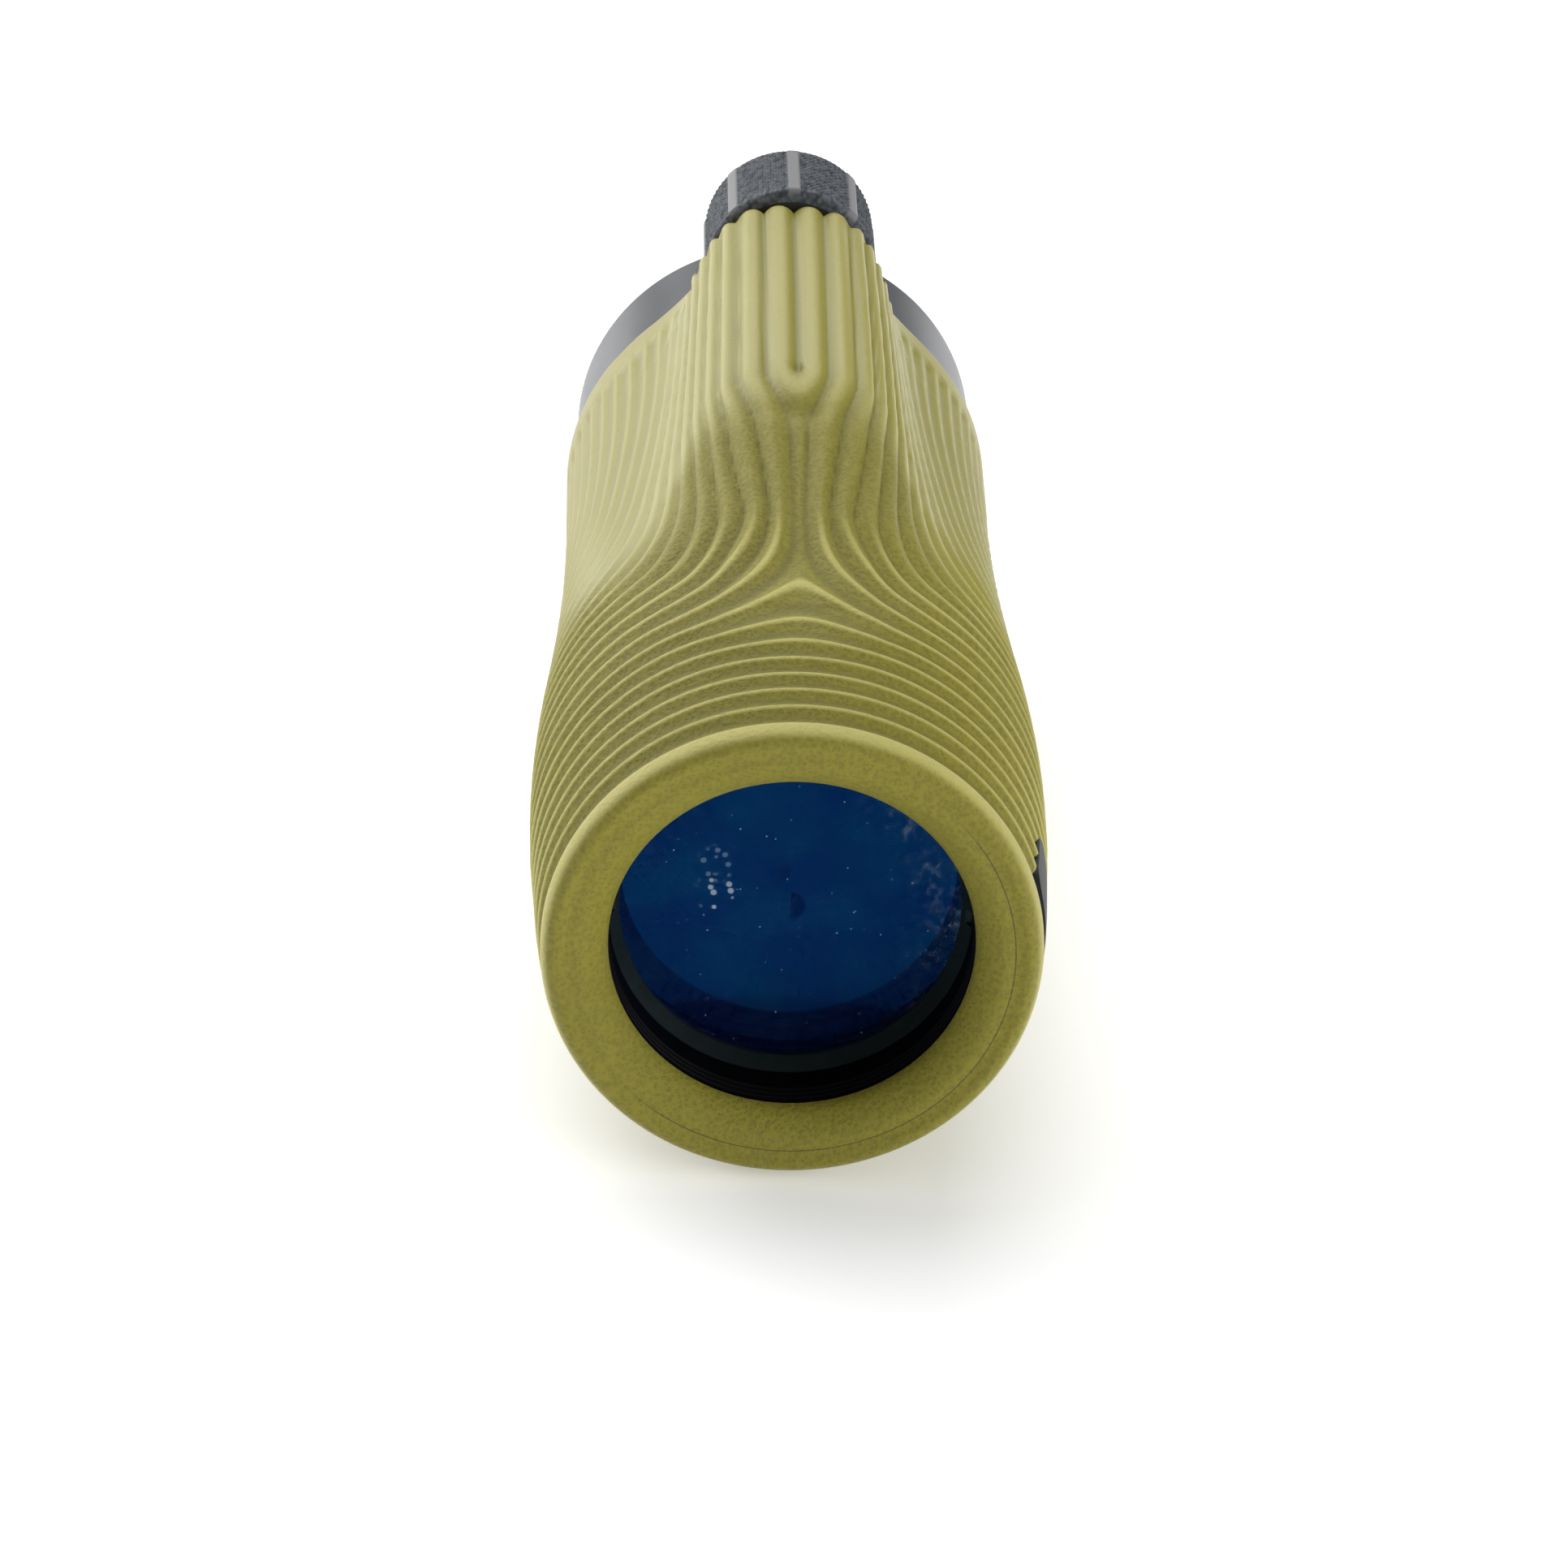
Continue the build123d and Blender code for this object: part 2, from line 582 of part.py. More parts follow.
with BuildPart() as prism_cage:
    revolve(band(CAGE_START, CAGE_END, 0, CAGE_R), axis=TUBE_AXIS)
    pocket_start, pocket_end = PRISM_FRONT - 0.1, PRISM_BACK + 0.1
    with BuildSketch(across(pocket_start)):
        with Locations((0, -15.2)):
            Rectangle(2 * PRISM_HALF + 0.2, 50, align=(Align.CENTER, Align.MIN))
    extrude(amount=-(pocket_end - pocket_start), mode=Mode.SUBTRACT)
    revolve(band(CAGE_START - 1, CAGE_END + 1, 0, 7.3), axis=TUBE_AXIS, mode=Mode.SUBTRACT)
    add(rod_holes(CAGE_START - 1, CAGE_START + 1, ROD_R), mode=Mode.SUBTRACT)
    revolve(band(clamp_start, clamp_end, 16.7, CAGE_R + 1), axis=TUBE_AXIS, mode=Mode.SUBTRACT)
save(prism_cage, "prism_cage")

with BuildPart() as prism_clamp:
    revolve(band(clamp_start + 0.1, clamp_end - 0.1, 16.72, 17.3), axis=TUBE_AXIS)
    with Locations((0, FRONT_Y + (clamp_start + clamp_end) / 2, AXIS_Z + 10.6)):
        Box(22.6, 10, 20, align=(Align.CENTER, Align.CENTER, Align.MIN), mode=Mode.INTERSECT)
save(prism_clamp, "prism_clamp")

with BuildPart() as prism_pad:  # notched to sit over the roof edge
    with Locations((0, FRONT_Y + (clamp_start + clamp_end) / 2, AXIS_Z + 10.6)):
        Box(5, 4, 5.9, align=(Align.CENTER, Align.CENTER, Align.MIN))
    add(roof_prism.part, mode=Mode.SUBTRACT)
save(prism_pad, "prism_pad")

# ---- Eyepiece ----
NECK_START, NECK_END, NECK_R = 104.3, 106.7, 19.0
BARREL_START, BARREL_END = 88.2, 117.4
KEYWAY_HALF = 1.15
PIN_STATION, PIN_R, PIN_TIP = 116.2, 0.8, 18.1
PIN_ANGLES = (60, 180, 300)

with BuildPart() as eyecup_cam_pins:
    for angle in PIN_ANGLES:
        pin_plane = Plane(origin=(0, FRONT_Y + PIN_STATION, AXIS_Z), z_dir=(0, 0, 1)).rotated((0, angle, 0))
        with Locations(pin_plane.offset(15.5)):
            Cylinder(PIN_R, PIN_TIP - 15.5, align=(Align.CENTER, Align.CENTER, Align.MIN))
save(eyecup_cam_pins, "eyecup_cam_pins")

with BuildPart() as eyepiece_barrel:
    revolve(
        outline(
            [
                (BARREL_START, 14.5),
                (92.0, 14.5),
                (92.0, 12.6),
                (111.2, 12.6),
                (111.2, 13.2),
                (113.5, 13.2),
                (BARREL_END, 15.0),
                (BARREL_END, GUIDE_R),
                (NECK_END, GUIDE_R),
                (NECK_END, NECK_R),
                (NECK_START, NECK_R),
                (NECK_START, 17.8),
                (97.6, 17.8),
                (97.6, 17.0),
                (96.0, 17.0),
                (96.0, 17.8),
                (BARREL_START, 17.8),
            ]
        ),
        axis=TUBE_AXIS,
    )
    with BuildSketch(across(EYECUP_FRONT + 0.3)):  # keyway for the slip ring
        with Locations((0, 15.9)):
            Rectangle(2 * KEYWAY_HALF, 4, align=(Align.CENTER, Align.MIN))
    extrude(amount=-20, mode=Mode.SUBTRACT)
    add(eyecup_cam_pins.part, mode=Mode.SUBTRACT)
save(eyepiece_barrel, "eyepiece_barrel")

with BuildPart() as eyepiece_seal_ring:
    revolve(band(96.1, 97.5, 17.03, 17.88), axis=TUBE_AXIS)
    fillet(eyepiece_seal_ring.edges(), 0.3)
save(eyepiece_seal_ring, "eyepiece_seal_ring")

with BuildPart() as field_stop:
    revolve(outline([(90.4, 8.0), (90.4, 14.45), (91.95, 14.45), (91.95, 6.5)]), axis=TUBE_AXIS)
save(field_stop, "field_stop")

LENS_RIM = 12.5
FLINT_FRONT, FLINT_REAR, EYE_CEMENT = 98.0, 99.2, 20.0
CROWN_REAR, CROWN_REAR_CURVE = 108.2, 28.0
EYE_FRONT, EYE_REAR, EYE_CURVE = 110.4, 113.5, 35.0
FIELD_FRONT, FIELD_REAR, FIELD_CURVE = 92.2, 96.4, 30.0

with BuildPart() as field_lens:
    revolve(lens_section(LENS_RIM, FIELD_FRONT, None, FIELD_REAR, FIELD_CURVE), axis=TUBE_AXIS)
save(field_lens, "field_lens")

with BuildPart() as eyepiece_spacer:
    field_edge = FIELD_REAR - sag(FIELD_CURVE, LENS_RIM)
    revolve(band(field_edge + 0.02, FLINT_FRONT - 0.02, LENS_RIM - 0.6, LENS_RIM), axis=TUBE_AXIS)
    revolve(
        lens_section(LENS_RIM, FIELD_FRONT, None, FIELD_REAR + 0.02, FIELD_CURVE),
        axis=TUBE_AXIS,
        mode=Mode.SUBTRACT,
    )
save(eyepiece_spacer, "eyepiece_spacer")

with BuildPart() as eyepiece_flint_lens:
    revolve(lens_section(LENS_RIM, FLINT_FRONT, None, FLINT_REAR, -EYE_CEMENT), axis=TUBE_AXIS)
save(eyepiece_flint_lens, "eyepiece_flint_lens")

with BuildPart() as eyepiece_crown_lens:
    revolve(lens_section(LENS_RIM, FLINT_REAR, -EYE_CEMENT, CROWN_REAR, CROWN_REAR_CURVE), axis=TUBE_AXIS)
save(eyepiece_crown_lens, "eyepiece_crown_lens")

with BuildPart() as eye_lens_spacer:
    crown_edge = CROWN_REAR - sag(CROWN_REAR_CURVE, LENS_RIM)
    revolve(
        outline(
            [
                (crown_edge + 0.02, LENS_RIM),
                (crown_edge + 0.5, LENS_RIM - 0.5),
                (EYE_FRONT - 0.02, LENS_RIM - 0.5),
                (EYE_FRONT - 0.02, LENS_RIM),
            ]
        ),
        axis=TUBE_AXIS,
    )
save(eye_lens_spacer, "eye_lens_spacer")

with BuildPart() as eye_lens:
    revolve(lens_section(LENS_RIM, EYE_FRONT, None, EYE_REAR, EYE_CURVE), axis=TUBE_AXIS)
save(eye_lens, "eye_lens")

with BuildPart() as eyepiece_retaining_ring:
    revolve(outline([(111.8, 11.3), (113.3, 11.6), (113.3, 13.15), (111.8, 13.15)]), axis=TUBE_AXIS)
    with BuildSketch(across(113.3)):
        Rectangle(60, 1.2)
    extrude(amount=0.7, mode=Mode.SUBTRACT)
save(eyepiece_retaining_ring, "eyepiece_retaining_ring")

# ---- Twist-up eyecup ----
SLIP_START, SLIP_END, SLIP_R = 107.8, 109.1, 18.1
SLEEVE_START, SLEEVE_END, SLEEVE_R = 107.3, 117.8, 18.9
SLEEVE_BORE = GUIDE_R + 0.15
CAM_WALL_R, CAM_R, CAM_STEPS = 18.35, 1.0, 30

with BuildPart() as eyecup_slip_ring:
    revolve(band(SLIP_START, SLIP_END, SLEEVE_BORE, SLIP_R), axis=TUBE_AXIS)
    with BuildSketch(across(SLIP_START)):
        with Locations((0, 16.1)):
            Rectangle(2 * KEYWAY_HALF - 0.3, 1.5, align=(Align.CENTER, Align.MIN))
    extrude(amount=-(SLIP_END - SLIP_START))
save(eyecup_slip_ring, "eyecup_slip_ring")

with BuildPart() as cam_slot:
    for step in range(CAM_STEPS + 1):
        share = step / CAM_STEPS
        place = Plane(origin=(0, FRONT_Y + PIN_STATION - share * EYECUP_TRAVEL, AXIS_Z), z_dir=(0, 0, 1))
        with Locations(place.rotated((0, PIN_ANGLES[0] - share * EYECUP_TURN, 0)).offset(SLEEVE_BORE - 1)):
            Cylinder(CAM_R, CAM_WALL_R - SLEEVE_BORE + 1, align=(Align.CENTER, Align.CENTER, Align.MIN))

with BuildPart() as eyecup_sleeve:
    revolve(band(SLEEVE_START, SLEEVE_END, SLEEVE_BORE, SLEEVE_R), axis=TUBE_AXIS)
    slip_room = band(SLIP_START - 0.2, SLIP_END + 0.2, SLEEVE_BORE - 1, SLIP_R + 0.15)
    revolve(slip_room, axis=TUBE_AXIS, mode=Mode.SUBTRACT)
    for turn in range(len(PIN_ANGLES)):
        add(cam_slot.part.rotate(TUBE_AXIS, turn * 360 / len(PIN_ANGLES)), mode=Mode.SUBTRACT)
save(eyecup_sleeve, "eyecup_sleeve")

with BuildPart() as eyecup_rubber:
    revolve(
        outline(
            [
                (EYECUP_FRONT, SLEEVE_R),
                (SLEEVE_END + 0.05, SLEEVE_R),
                (SLEEVE_END + 0.05, 14.2),
                (LENGTH, 15.2),
                (LENGTH, EYECUP_R),
                (EYECUP_FRONT, EYECUP_R),
            ]
        ),
        axis=TUBE_AXIS,
    )
    rims = eyecup_rubber.edges().filter_by(GeomType.CIRCLE).group_by(Axis.Y)
    fillet(rims[-1].sort_by(SortBy.RADIUS)[-1], 1.6)
    rims = eyecup_rubber.edges().filter_by(GeomType.CIRCLE).group_by(Axis.Y)
    fillet(rims[0].sort_by(SortBy.RADIUS)[-1], 0.7)
save(eyecup_rubber, "eyecup_rubber")

# ---- Focus knob and its screw ----
KNOB_HUB_R = 7.3
HUB_END, SHAFT_END, KNOB_SCREW_R = 105.0, 103.4, 0.8
RIB_COUNT, RIB_HALF, RIB_HEIGHT = 8, 0.7, 0.25

with BuildPart() as focus_screw:
    revolve(band(SHAFT_START, SHAFT_END, 0, SHAFT_R, SHAFT), axis=SHAFT_AXIS)
    revolve(band(99.8, SHAFT_END, 0, KNOB_SCREW_R, SHAFT), axis=SHAFT_AXIS, mode=Mode.SUBTRACT)
    revolve(band(85.3, 86.1, 1.6, SHAFT_R + 1, SHAFT), axis=SHAFT_AXIS, mode=Mode.SUBTRACT)
save(focus_screw, "focus_screw")

with BuildPart() as shaft_circlip:
    revolve(band(85.32, 86.08, 1.62, 2.8, SHAFT), axis=SHAFT_AXIS)
    with Locations((0, FRONT_Y + 85.7, AXIS_Z + KNOB_RISE - 2.4)):
        Box(1.4, 2, 2.4, mode=Mode.SUBTRACT)
save(shaft_circlip, "shaft_circlip")

with BuildPart() as shaft_seal_ring:
    ring_section = band(SEAL_START + 0.05, SEAL_END - 0.05, SHAFT_R + RUNNING, SEAL_R - 0.03, SHAFT)
    revolve(ring_section, axis=SHAFT_AXIS)
    fillet(shaft_seal_ring.edges(), 0.3)
save(shaft_seal_ring, "shaft_seal_ring")

with BuildPart() as knob_hub:
    revolve(
        outline(
            [
                (KNOB_FRONT, SHAFT_R),
                (103.5, SHAFT_R),
                (103.5, KNOB_SCREW_R + 0.1),
                (104.0, KNOB_SCREW_R + 0.1),
                (104.0, 2.1),
                (HUB_END, 2.1),
                (HUB_END, KNOB_HUB_R),
                (KNOB_FRONT, KNOB_HUB_R),
            ],
            SHAFT,
        ),
        axis=SHAFT_AXIS,
    )
save(knob_hub, "knob_hub")

with BuildPart() as knob_grip:
    revolve(band(KNOB_FRONT, KNOB_REAR, KNOB_HUB_R, KNOB_R - RIB_HEIGHT, SHAFT), axis=SHAFT_AXIS)
    fillet(knob_grip.edges().filter_by(GeomType.CIRCLE).group_by(Axis.Y)[-1].sort_by(SortBy.RADIUS)[-1], 0.7)
    with BuildSketch(across(KNOB_FRONT + 0.8, KNOB_RISE)):
        with PolarLocations(KNOB_R - 0.6, RIB_COUNT, start_angle=90):
            Rectangle(1.2, 2 * RIB_HALF)
    extrude(amount=-(KNOB_REAR - KNOB_FRONT - 1.8))
save(knob_grip, "knob_grip")

with BuildPart() as knob_screw:
    revolve(band(100.0, 104.0, 0, KNOB_SCREW_R, SHAFT), axis=SHAFT_AXIS)
    revolve(band(104.0, 104.9, 0, 1.95, SHAFT), axis=SHAFT_AXIS)
    with BuildSketch(across(104.9, KNOB_RISE)):
        Rectangle(0.5, 2.4)
        Rectangle(2.4, 0.5)
    extrude(amount=0.5, mode=Mode.SUBTRACT)
save(knob_screw, "knob_screw")

with BuildPart() as knob_cap:
    revolve(band(HUB_END + 0.05, KNOB_REAR - 0.3, 0, KNOB_HUB_R - 0.02, SHAFT), axis=SHAFT_AXIS)
    chamfer(knob_cap.edges().filter_by(GeomType.CIRCLE).group_by(Axis.Y)[-1], 0.3)
save(knob_cap, "knob_cap")
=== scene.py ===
"""Looks of the armoured monocular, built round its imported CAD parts. Metres throughout, +Z up, objective to -Y."""

import json
from math import cos, pi, radians, sin

import bpy
import numpy as np
from mathutils import Matrix, Vector

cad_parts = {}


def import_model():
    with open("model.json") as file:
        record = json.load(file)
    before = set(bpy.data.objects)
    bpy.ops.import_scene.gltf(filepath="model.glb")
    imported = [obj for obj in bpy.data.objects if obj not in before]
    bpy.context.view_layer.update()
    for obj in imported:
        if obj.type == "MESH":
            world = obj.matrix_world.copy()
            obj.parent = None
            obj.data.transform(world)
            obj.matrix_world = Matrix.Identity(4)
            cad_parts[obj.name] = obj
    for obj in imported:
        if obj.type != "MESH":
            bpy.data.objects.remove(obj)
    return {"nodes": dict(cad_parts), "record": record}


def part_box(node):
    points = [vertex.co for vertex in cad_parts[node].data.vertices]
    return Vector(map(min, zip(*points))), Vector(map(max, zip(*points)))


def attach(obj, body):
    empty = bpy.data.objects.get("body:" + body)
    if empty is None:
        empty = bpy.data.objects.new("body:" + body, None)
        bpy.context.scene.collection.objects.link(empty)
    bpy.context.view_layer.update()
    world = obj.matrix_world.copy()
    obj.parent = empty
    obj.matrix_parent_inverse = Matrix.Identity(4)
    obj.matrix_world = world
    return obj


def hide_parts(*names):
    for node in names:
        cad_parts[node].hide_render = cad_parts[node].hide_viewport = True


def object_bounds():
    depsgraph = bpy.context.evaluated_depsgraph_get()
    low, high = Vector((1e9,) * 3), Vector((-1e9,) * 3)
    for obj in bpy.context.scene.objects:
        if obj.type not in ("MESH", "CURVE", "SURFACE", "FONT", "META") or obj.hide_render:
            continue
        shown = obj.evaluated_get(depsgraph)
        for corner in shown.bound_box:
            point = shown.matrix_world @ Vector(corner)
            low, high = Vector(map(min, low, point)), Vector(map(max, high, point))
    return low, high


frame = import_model()
cad_low, cad_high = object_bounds()

MM = 0.001
NODES = frame["nodes"]
RECORD = frame["record"]


def centre(node):
    """Middle of a CAD node's box."""
    low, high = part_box(node)
    return (low + high) / 2


# ---- Places taken from the frame, in millimetres ----
FRONT = cad_low.y / MM  # the lip of the armour; stations are counted from here
AXIS = centre("objective_shroud").z / MM  # optical axis above the floor
SHAFT = centre("focus_screw").z / MM - AXIS  # focus shaft above the optical axis
ARMOUR_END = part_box("rubber_armour")[1].y / MM - FRONT
KNOB_LOW, KNOB_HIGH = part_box("knob_grip")
KNOB_FRONT, KNOB_REAR = KNOB_LOW.y / MM - FRONT, KNOB_HIGH.y / MM - FRONT
KNOB_R = (KNOB_HIGH.x - KNOB_LOW.x) / 2 / MM
PLATE_LOW, PLATE_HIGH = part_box("side_plate")
PLATE_FRONT, PLATE_REAR = PLATE_LOW.y / MM - FRONT, PLATE_HIGH.y / MM - FRONT
PLATE_BOTTOM, PLATE_TOP = PLATE_LOW.z / MM - AXIS, PLATE_HIGH.z / MM - AXIS


# ---- Small numeric helpers ----
def smooth_max(a, b, width):
    """The larger of a and b, rounded where they meet."""
    share = np.clip(0.5 + 0.5 * (a - b) / width, 0, 1)
    return b * (1 - share) + a * share + width * share * (1 - share)


def smooth_min(a, b, width):
    """The smaller of a and b, rounded where they meet."""
    return -smooth_max(-a, -b, width)


def fade(x, start, end):
    """0 before start, 1 after end, eased between them; end may be the smaller."""
    t = np.clip((x - start) / (end - start), 0, 1)
    return t * t * (3 - 2 * t)


def curve_through(points, x):
    """Values at x of a smooth curve through (x, y) points."""
    px, py = np.array(points, float).T
    slope = np.gradient(py, px)
    i = np.clip(np.searchsorted(px, x) - 1, 0, len(px) - 2)
    step = px[i + 1] - px[i]
    t = np.clip((x - px[i]) / step, 0, 1)
    a, b = py[i], py[i + 1]
    return (
        (1 + 2 * t) * (1 - t) ** 2 * a
        + t * (1 - t) ** 2 * step * slope[i]
        + t * t * (3 - 2 * t) * b
        + t * t * (t - 1) * step * slope[i + 1]
    )


def grid_object(name, points, attributes):
    """A mesh of quads through a grid of points in millimetres, each row a closed ring, as an object in metres."""
    rows, columns = points.shape[:2]
    index = np.arange(rows * columns).reshape(rows, columns)
    right = np.roll(index, -1, axis=1)
    faces = np.stack([index[:-1], right[:-1], right[1:], index[1:]], axis=-1).reshape(-1, 4)
    mesh = bpy.data.meshes.new(name)
    mesh.from_pydata((points.reshape(-1, 3) * MM).tolist(), [], faces.tolist())
    for key, values in attributes.items():
        layer = mesh.attributes.new(key, "FLOAT", "POINT")
        layer.data.foreach_set("value", np.ascontiguousarray(values, np.float32).ravel())
    mesh.polygons.foreach_set("use_smooth", np.ones(len(mesh.polygons), bool))
    mesh.update()
    thing = bpy.data.objects.new(name, mesh)
    bpy.context.scene.collection.objects.link(thing)
    return thing


# ---- Node-tree helper ----
class Look:
    """A material with short ways to add and join its nodes."""

    def __init__(self, name):
        self.material = bpy.data.materials.new(name)
        self.material.use_nodes = True
        self.tree = self.material.node_tree
        self.tree.nodes.clear()
        self.output = self.tree.nodes.new("ShaderNodeOutputMaterial")

    def add(self, kind, settings=None, **inputs):
        """A node of this kind; inputs are numbers, colours or sockets, named with _ for spaces."""
        node = self.tree.nodes.new("ShaderNode" + kind)
        for key, value in (settings or {}).items():
            setattr(node, key, value)
        for key, value in inputs.items():
            self.put(node.inputs[key.replace("_", " ")], value)
        return node

    def put(self, socket, value):
        """Links a socket, or sets a plain value."""
        if isinstance(value, bpy.types.NodeSocket):
            self.tree.links.new(value, socket)
        elif isinstance(value, (tuple, list)) and len(value) == 3 and socket.type == "RGBA":
            socket.default_value = (*value, 1)
        else:
            socket.default_value = value

    def math(self, operation, a, b=0.0):
        node = self.add("Math", {"operation": operation})
        for socket, value in zip(node.inputs, (a, b)):
            self.put(socket, value)
        return node.outputs[0]

    def mix(self, factor, a, b):
        """Colour between a and b."""
        node = self.add("Mix", {"data_type": "RGBA"})
        self.put(node.inputs[0], factor)
        self.put(node.inputs[6], a)
        self.put(node.inputs[7], b)
        return node.outputs[2]

    def where(self):
        """The point being shaded, in metres in the row frame."""
        return self.add("TexCoord").outputs["Object"]

    def axes(self):
        node = self.add("SeparateXYZ", Vector=self.where())
        return node.outputs[0], node.outputs[1], node.outputs[2]

    def noise(self, size_mm, detail=3.0, roughness=0.5, vector=None):
        """Noise whose features are about this size."""
        node = self.add("TexNoise", Scale=1 / (size_mm * MM), Detail=detail, Roughness=roughness)
        self.put(node.inputs["Vector"], vector or self.where())
        return node.outputs[0]

    def cells(self, size_mm, feature="F1", vector=None):
        """Distance to the middle of the nearest of many scattered cells of about this size."""
        node = self.add("TexVoronoi", {"feature": feature}, Scale=1 / (size_mm * MM))
        self.put(node.inputs["Vector"], vector or self.where())
        return node.outputs["Distance"]

    def steps(self, value, low, high):
        """value stretched so that low becomes 0 and high becomes 1."""
        node = self.add("MapRange", {"interpolation_type": "SMOOTHSTEP"})
        for socket, number in zip(node.inputs, (value, low, high, 0.0, 1.0)):
            self.put(socket, number)
        return node.outputs[0]

    def bump(self, height, distance_mm, strength):
        return self.add("Bump", Height=height, Distance=distance_mm * MM, Strength=strength).outputs[0]

    def surface(self, shader):
        self.tree.links.new(shader, self.output.inputs["Surface"])
        return self.material

    def principled(self, **inputs):
        """Ends the material with a Principled shader."""
        return self.surface(self.add("BsdfPrincipled", **inputs).outputs[0])


# ---- Materials ----
OLIVE = (0.262, 0.235, 0.022)
OLIVE_LOW = (0.250, 0.223, 0.019)
# OLIVE_DEEP: painted shade in the grooves and in the grain's hollows, and also the darker patches at random
OLIVE_DEEP = (0.150, 0.133, 0.010)
# painted highlight: the colour that the crests of the ribs are painted towards
OLIVE_CREST_HIGHLIGHT = (0.540, 0.495, 0.150)
MOULD_LINE = (0.05, 0.045, 0.015)
MOULD_LINE_R = 19.9  # radius of the mould line on the lip, in millimetres
PEBBLE_SIZE, GRAIN_SIZE, GRAIN_DEPTH = 0.42, 0.16, 0.14  # millimetres


def olive_rubber():
    look = Look("rubber_olive")
    x, y, z = look.axes()
    ridge = look.add("Attribute", {"attribute_name": "ridge"}).outputs["Fac"]
    smooth = look.add("Attribute", {"attribute_name": "smooth"}).outputs["Fac"]
    warped = look.add("VectorMath", {"operation": "ADD"})
    drift = look.add("TexNoise", Scale=1 / (1.2 * MM), Detail=2.0)
    shift = look.add("VectorMath", {"operation": "SCALE"}, Vector=drift.outputs["Color"], Scale=0.25 * MM)
    look.put(warped.inputs[0], look.where())
    look.put(warped.inputs[1], shift.outputs[0])
    pebbles = look.cells(PEBBLE_SIZE, "SMOOTH_F1", vector=warped.outputs[0])
    fine = look.noise(GRAIN_SIZE, 4.0, 0.6)
    grain = look.math("ADD", look.math("MULTIPLY", pebbles, 0.8), look.math("MULTIPLY", fine, 0.9))
    depth = look.math("SUBTRACT", 1.0, look.math("MULTIPLY", smooth, 0.75))
    normal = look.bump(look.math("MULTIPLY", grain, depth), GRAIN_DEPTH, 1.0)
    patches = look.noise(9.0, 3.0)
    # painted highlight on the crests of the ribs, weaker on smooth skin
    crest = look.math("MULTIPLY", look.steps(ridge, 0.65, 1.0), depth)
    # painted shade: the hollows of the grain are coloured darker, towards OLIVE_DEEP
    grain_with_painted_shade = look.mix(look.math("MULTIPLY", look.steps(grain, 0.95, 0.55), 0.62), OLIVE_LOW, OLIVE_DEEP)
    # smooth skin, and the crests in part, take plain OLIVE without the painted shade of the hollows
    colour = look.mix(look.math("MAXIMUM", smooth, look.math("MULTIPLY", crest, 0.6)), grain_with_painted_shade, OLIVE)
    colour = look.mix(look.math("MULTIPLY", look.steps(patches, 0.45, 0.75), 0.12), colour, OLIVE_DEEP)
    # the crests are painted paler: a painted highlight
    colour = look.mix(look.math("MULTIPLY", crest, 0.75), colour, OLIVE_CREST_HIGHLIGHT)
    # painted shade in the grooves between the ribs, lighter on smooth skin
    shade = look.math("SUBTRACT", 0.70, look.math("MULTIPLY", smooth, 0.28))
    gutter = look.math("MULTIPLY", look.steps(ridge, 0.34, 0.0), shade)
    colour = look.mix(gutter, colour, OLIVE_DEEP)
    # the fine line where the two halves of the mould met, on the lip
    rise = look.math("SUBTRACT", z, AXIS * MM)
    radius = look.math("SQRT", look.math("ADD", look.math("MULTIPLY", x, x), look.math("MULTIPLY", rise, rise)))
    off_line = look.math("ABSOLUTE", look.math("SUBTRACT", radius, MOULD_LINE_R * MM))
    line = look.steps(off_line, 0.09 * MM, 0.03 * MM)
    on_lip = look.math("LESS_THAN", y, (FRONT + 2.5) * MM)
    lower_right = look.steps(look.math("SUBTRACT", x, rise), -2 * MM, 6 * MM)
    line = look.math("MULTIPLY", look.math("MULTIPLY", line, on_lip), lower_right)
    colour = look.mix(look.math("MULTIPLY", line, 0.75), colour, MOULD_LINE)
    rough = look.math("SUBTRACT", 0.50, look.math("MULTIPLY", smooth, 0.10))
    gloss = look.math("ADD", 0.30, look.math("MULTIPLY", smooth, 0.35))
    return look.principled(
        Base_Color=colour, Roughness=rough, Specular_IOR_Level=gloss, Normal=normal, Sheen_Weight=0.05,
        Sheen_Roughness=0.45,
    )


def moulded(name, colour, roughness, grain_mm=0.25, bump_mm=0.02):
    """Moulded plastic or rubber with a fine spark-eroded grain."""
    look = Look(name)
    grain = look.noise(grain_mm, 3.0, 0.55)
    patches = look.noise(6.0, 2.0)
    lighter = tuple(min(1.0, c * 1.7 + 0.004) for c in colour)
    tone = look.mix(look.math("MULTIPLY", look.steps(patches, 0.35, 0.7), 0.4), colour, lighter)
    rough = look.math("ADD", roughness - 0.06, look.math("MULTIPLY", patches, 0.12))
    return look.principled(Base_Color=tone, Roughness=rough, Normal=look.bump(grain, bump_mm, 0.8))


def turned_metal(name, colour, roughness, metallic=1.0, ring_mm=0.12, gloss=0.5):
    """Metal turned in a lathe: fine rings about the optical axis."""
    look = Look(name)
    x, y, z = look.axes()
    rise = look.math("SUBTRACT", z, AXIS * MM)
    radius = look.math("SQRT", look.math("ADD", look.math("MULTIPLY", x, x), look.math("MULTIPLY", rise, rise)))
    along = look.math("ADD", radius, y)
    rings = look.math("SINE", look.math("MULTIPLY", along, 2 * pi / (ring_mm * MM)))
    wear = look.noise(2.5, 4.0)
    height = look.math("ADD", look.math("MULTIPLY", rings, 0.3), wear)
    tone = look.mix(look.steps(wear, 0.4, 0.7), colour, tuple(min(1.0, c * 1.25) for c in colour))
    rough = look.math("ADD", roughness - 0.08, look.math("MULTIPLY", wear, 0.16))
    return look.principled(
        Base_Color=tone, Roughness=rough, Metallic=metallic, Specular_IOR_Level=gloss,
        Normal=look.bump(height, 0.006, 0.5),
    )


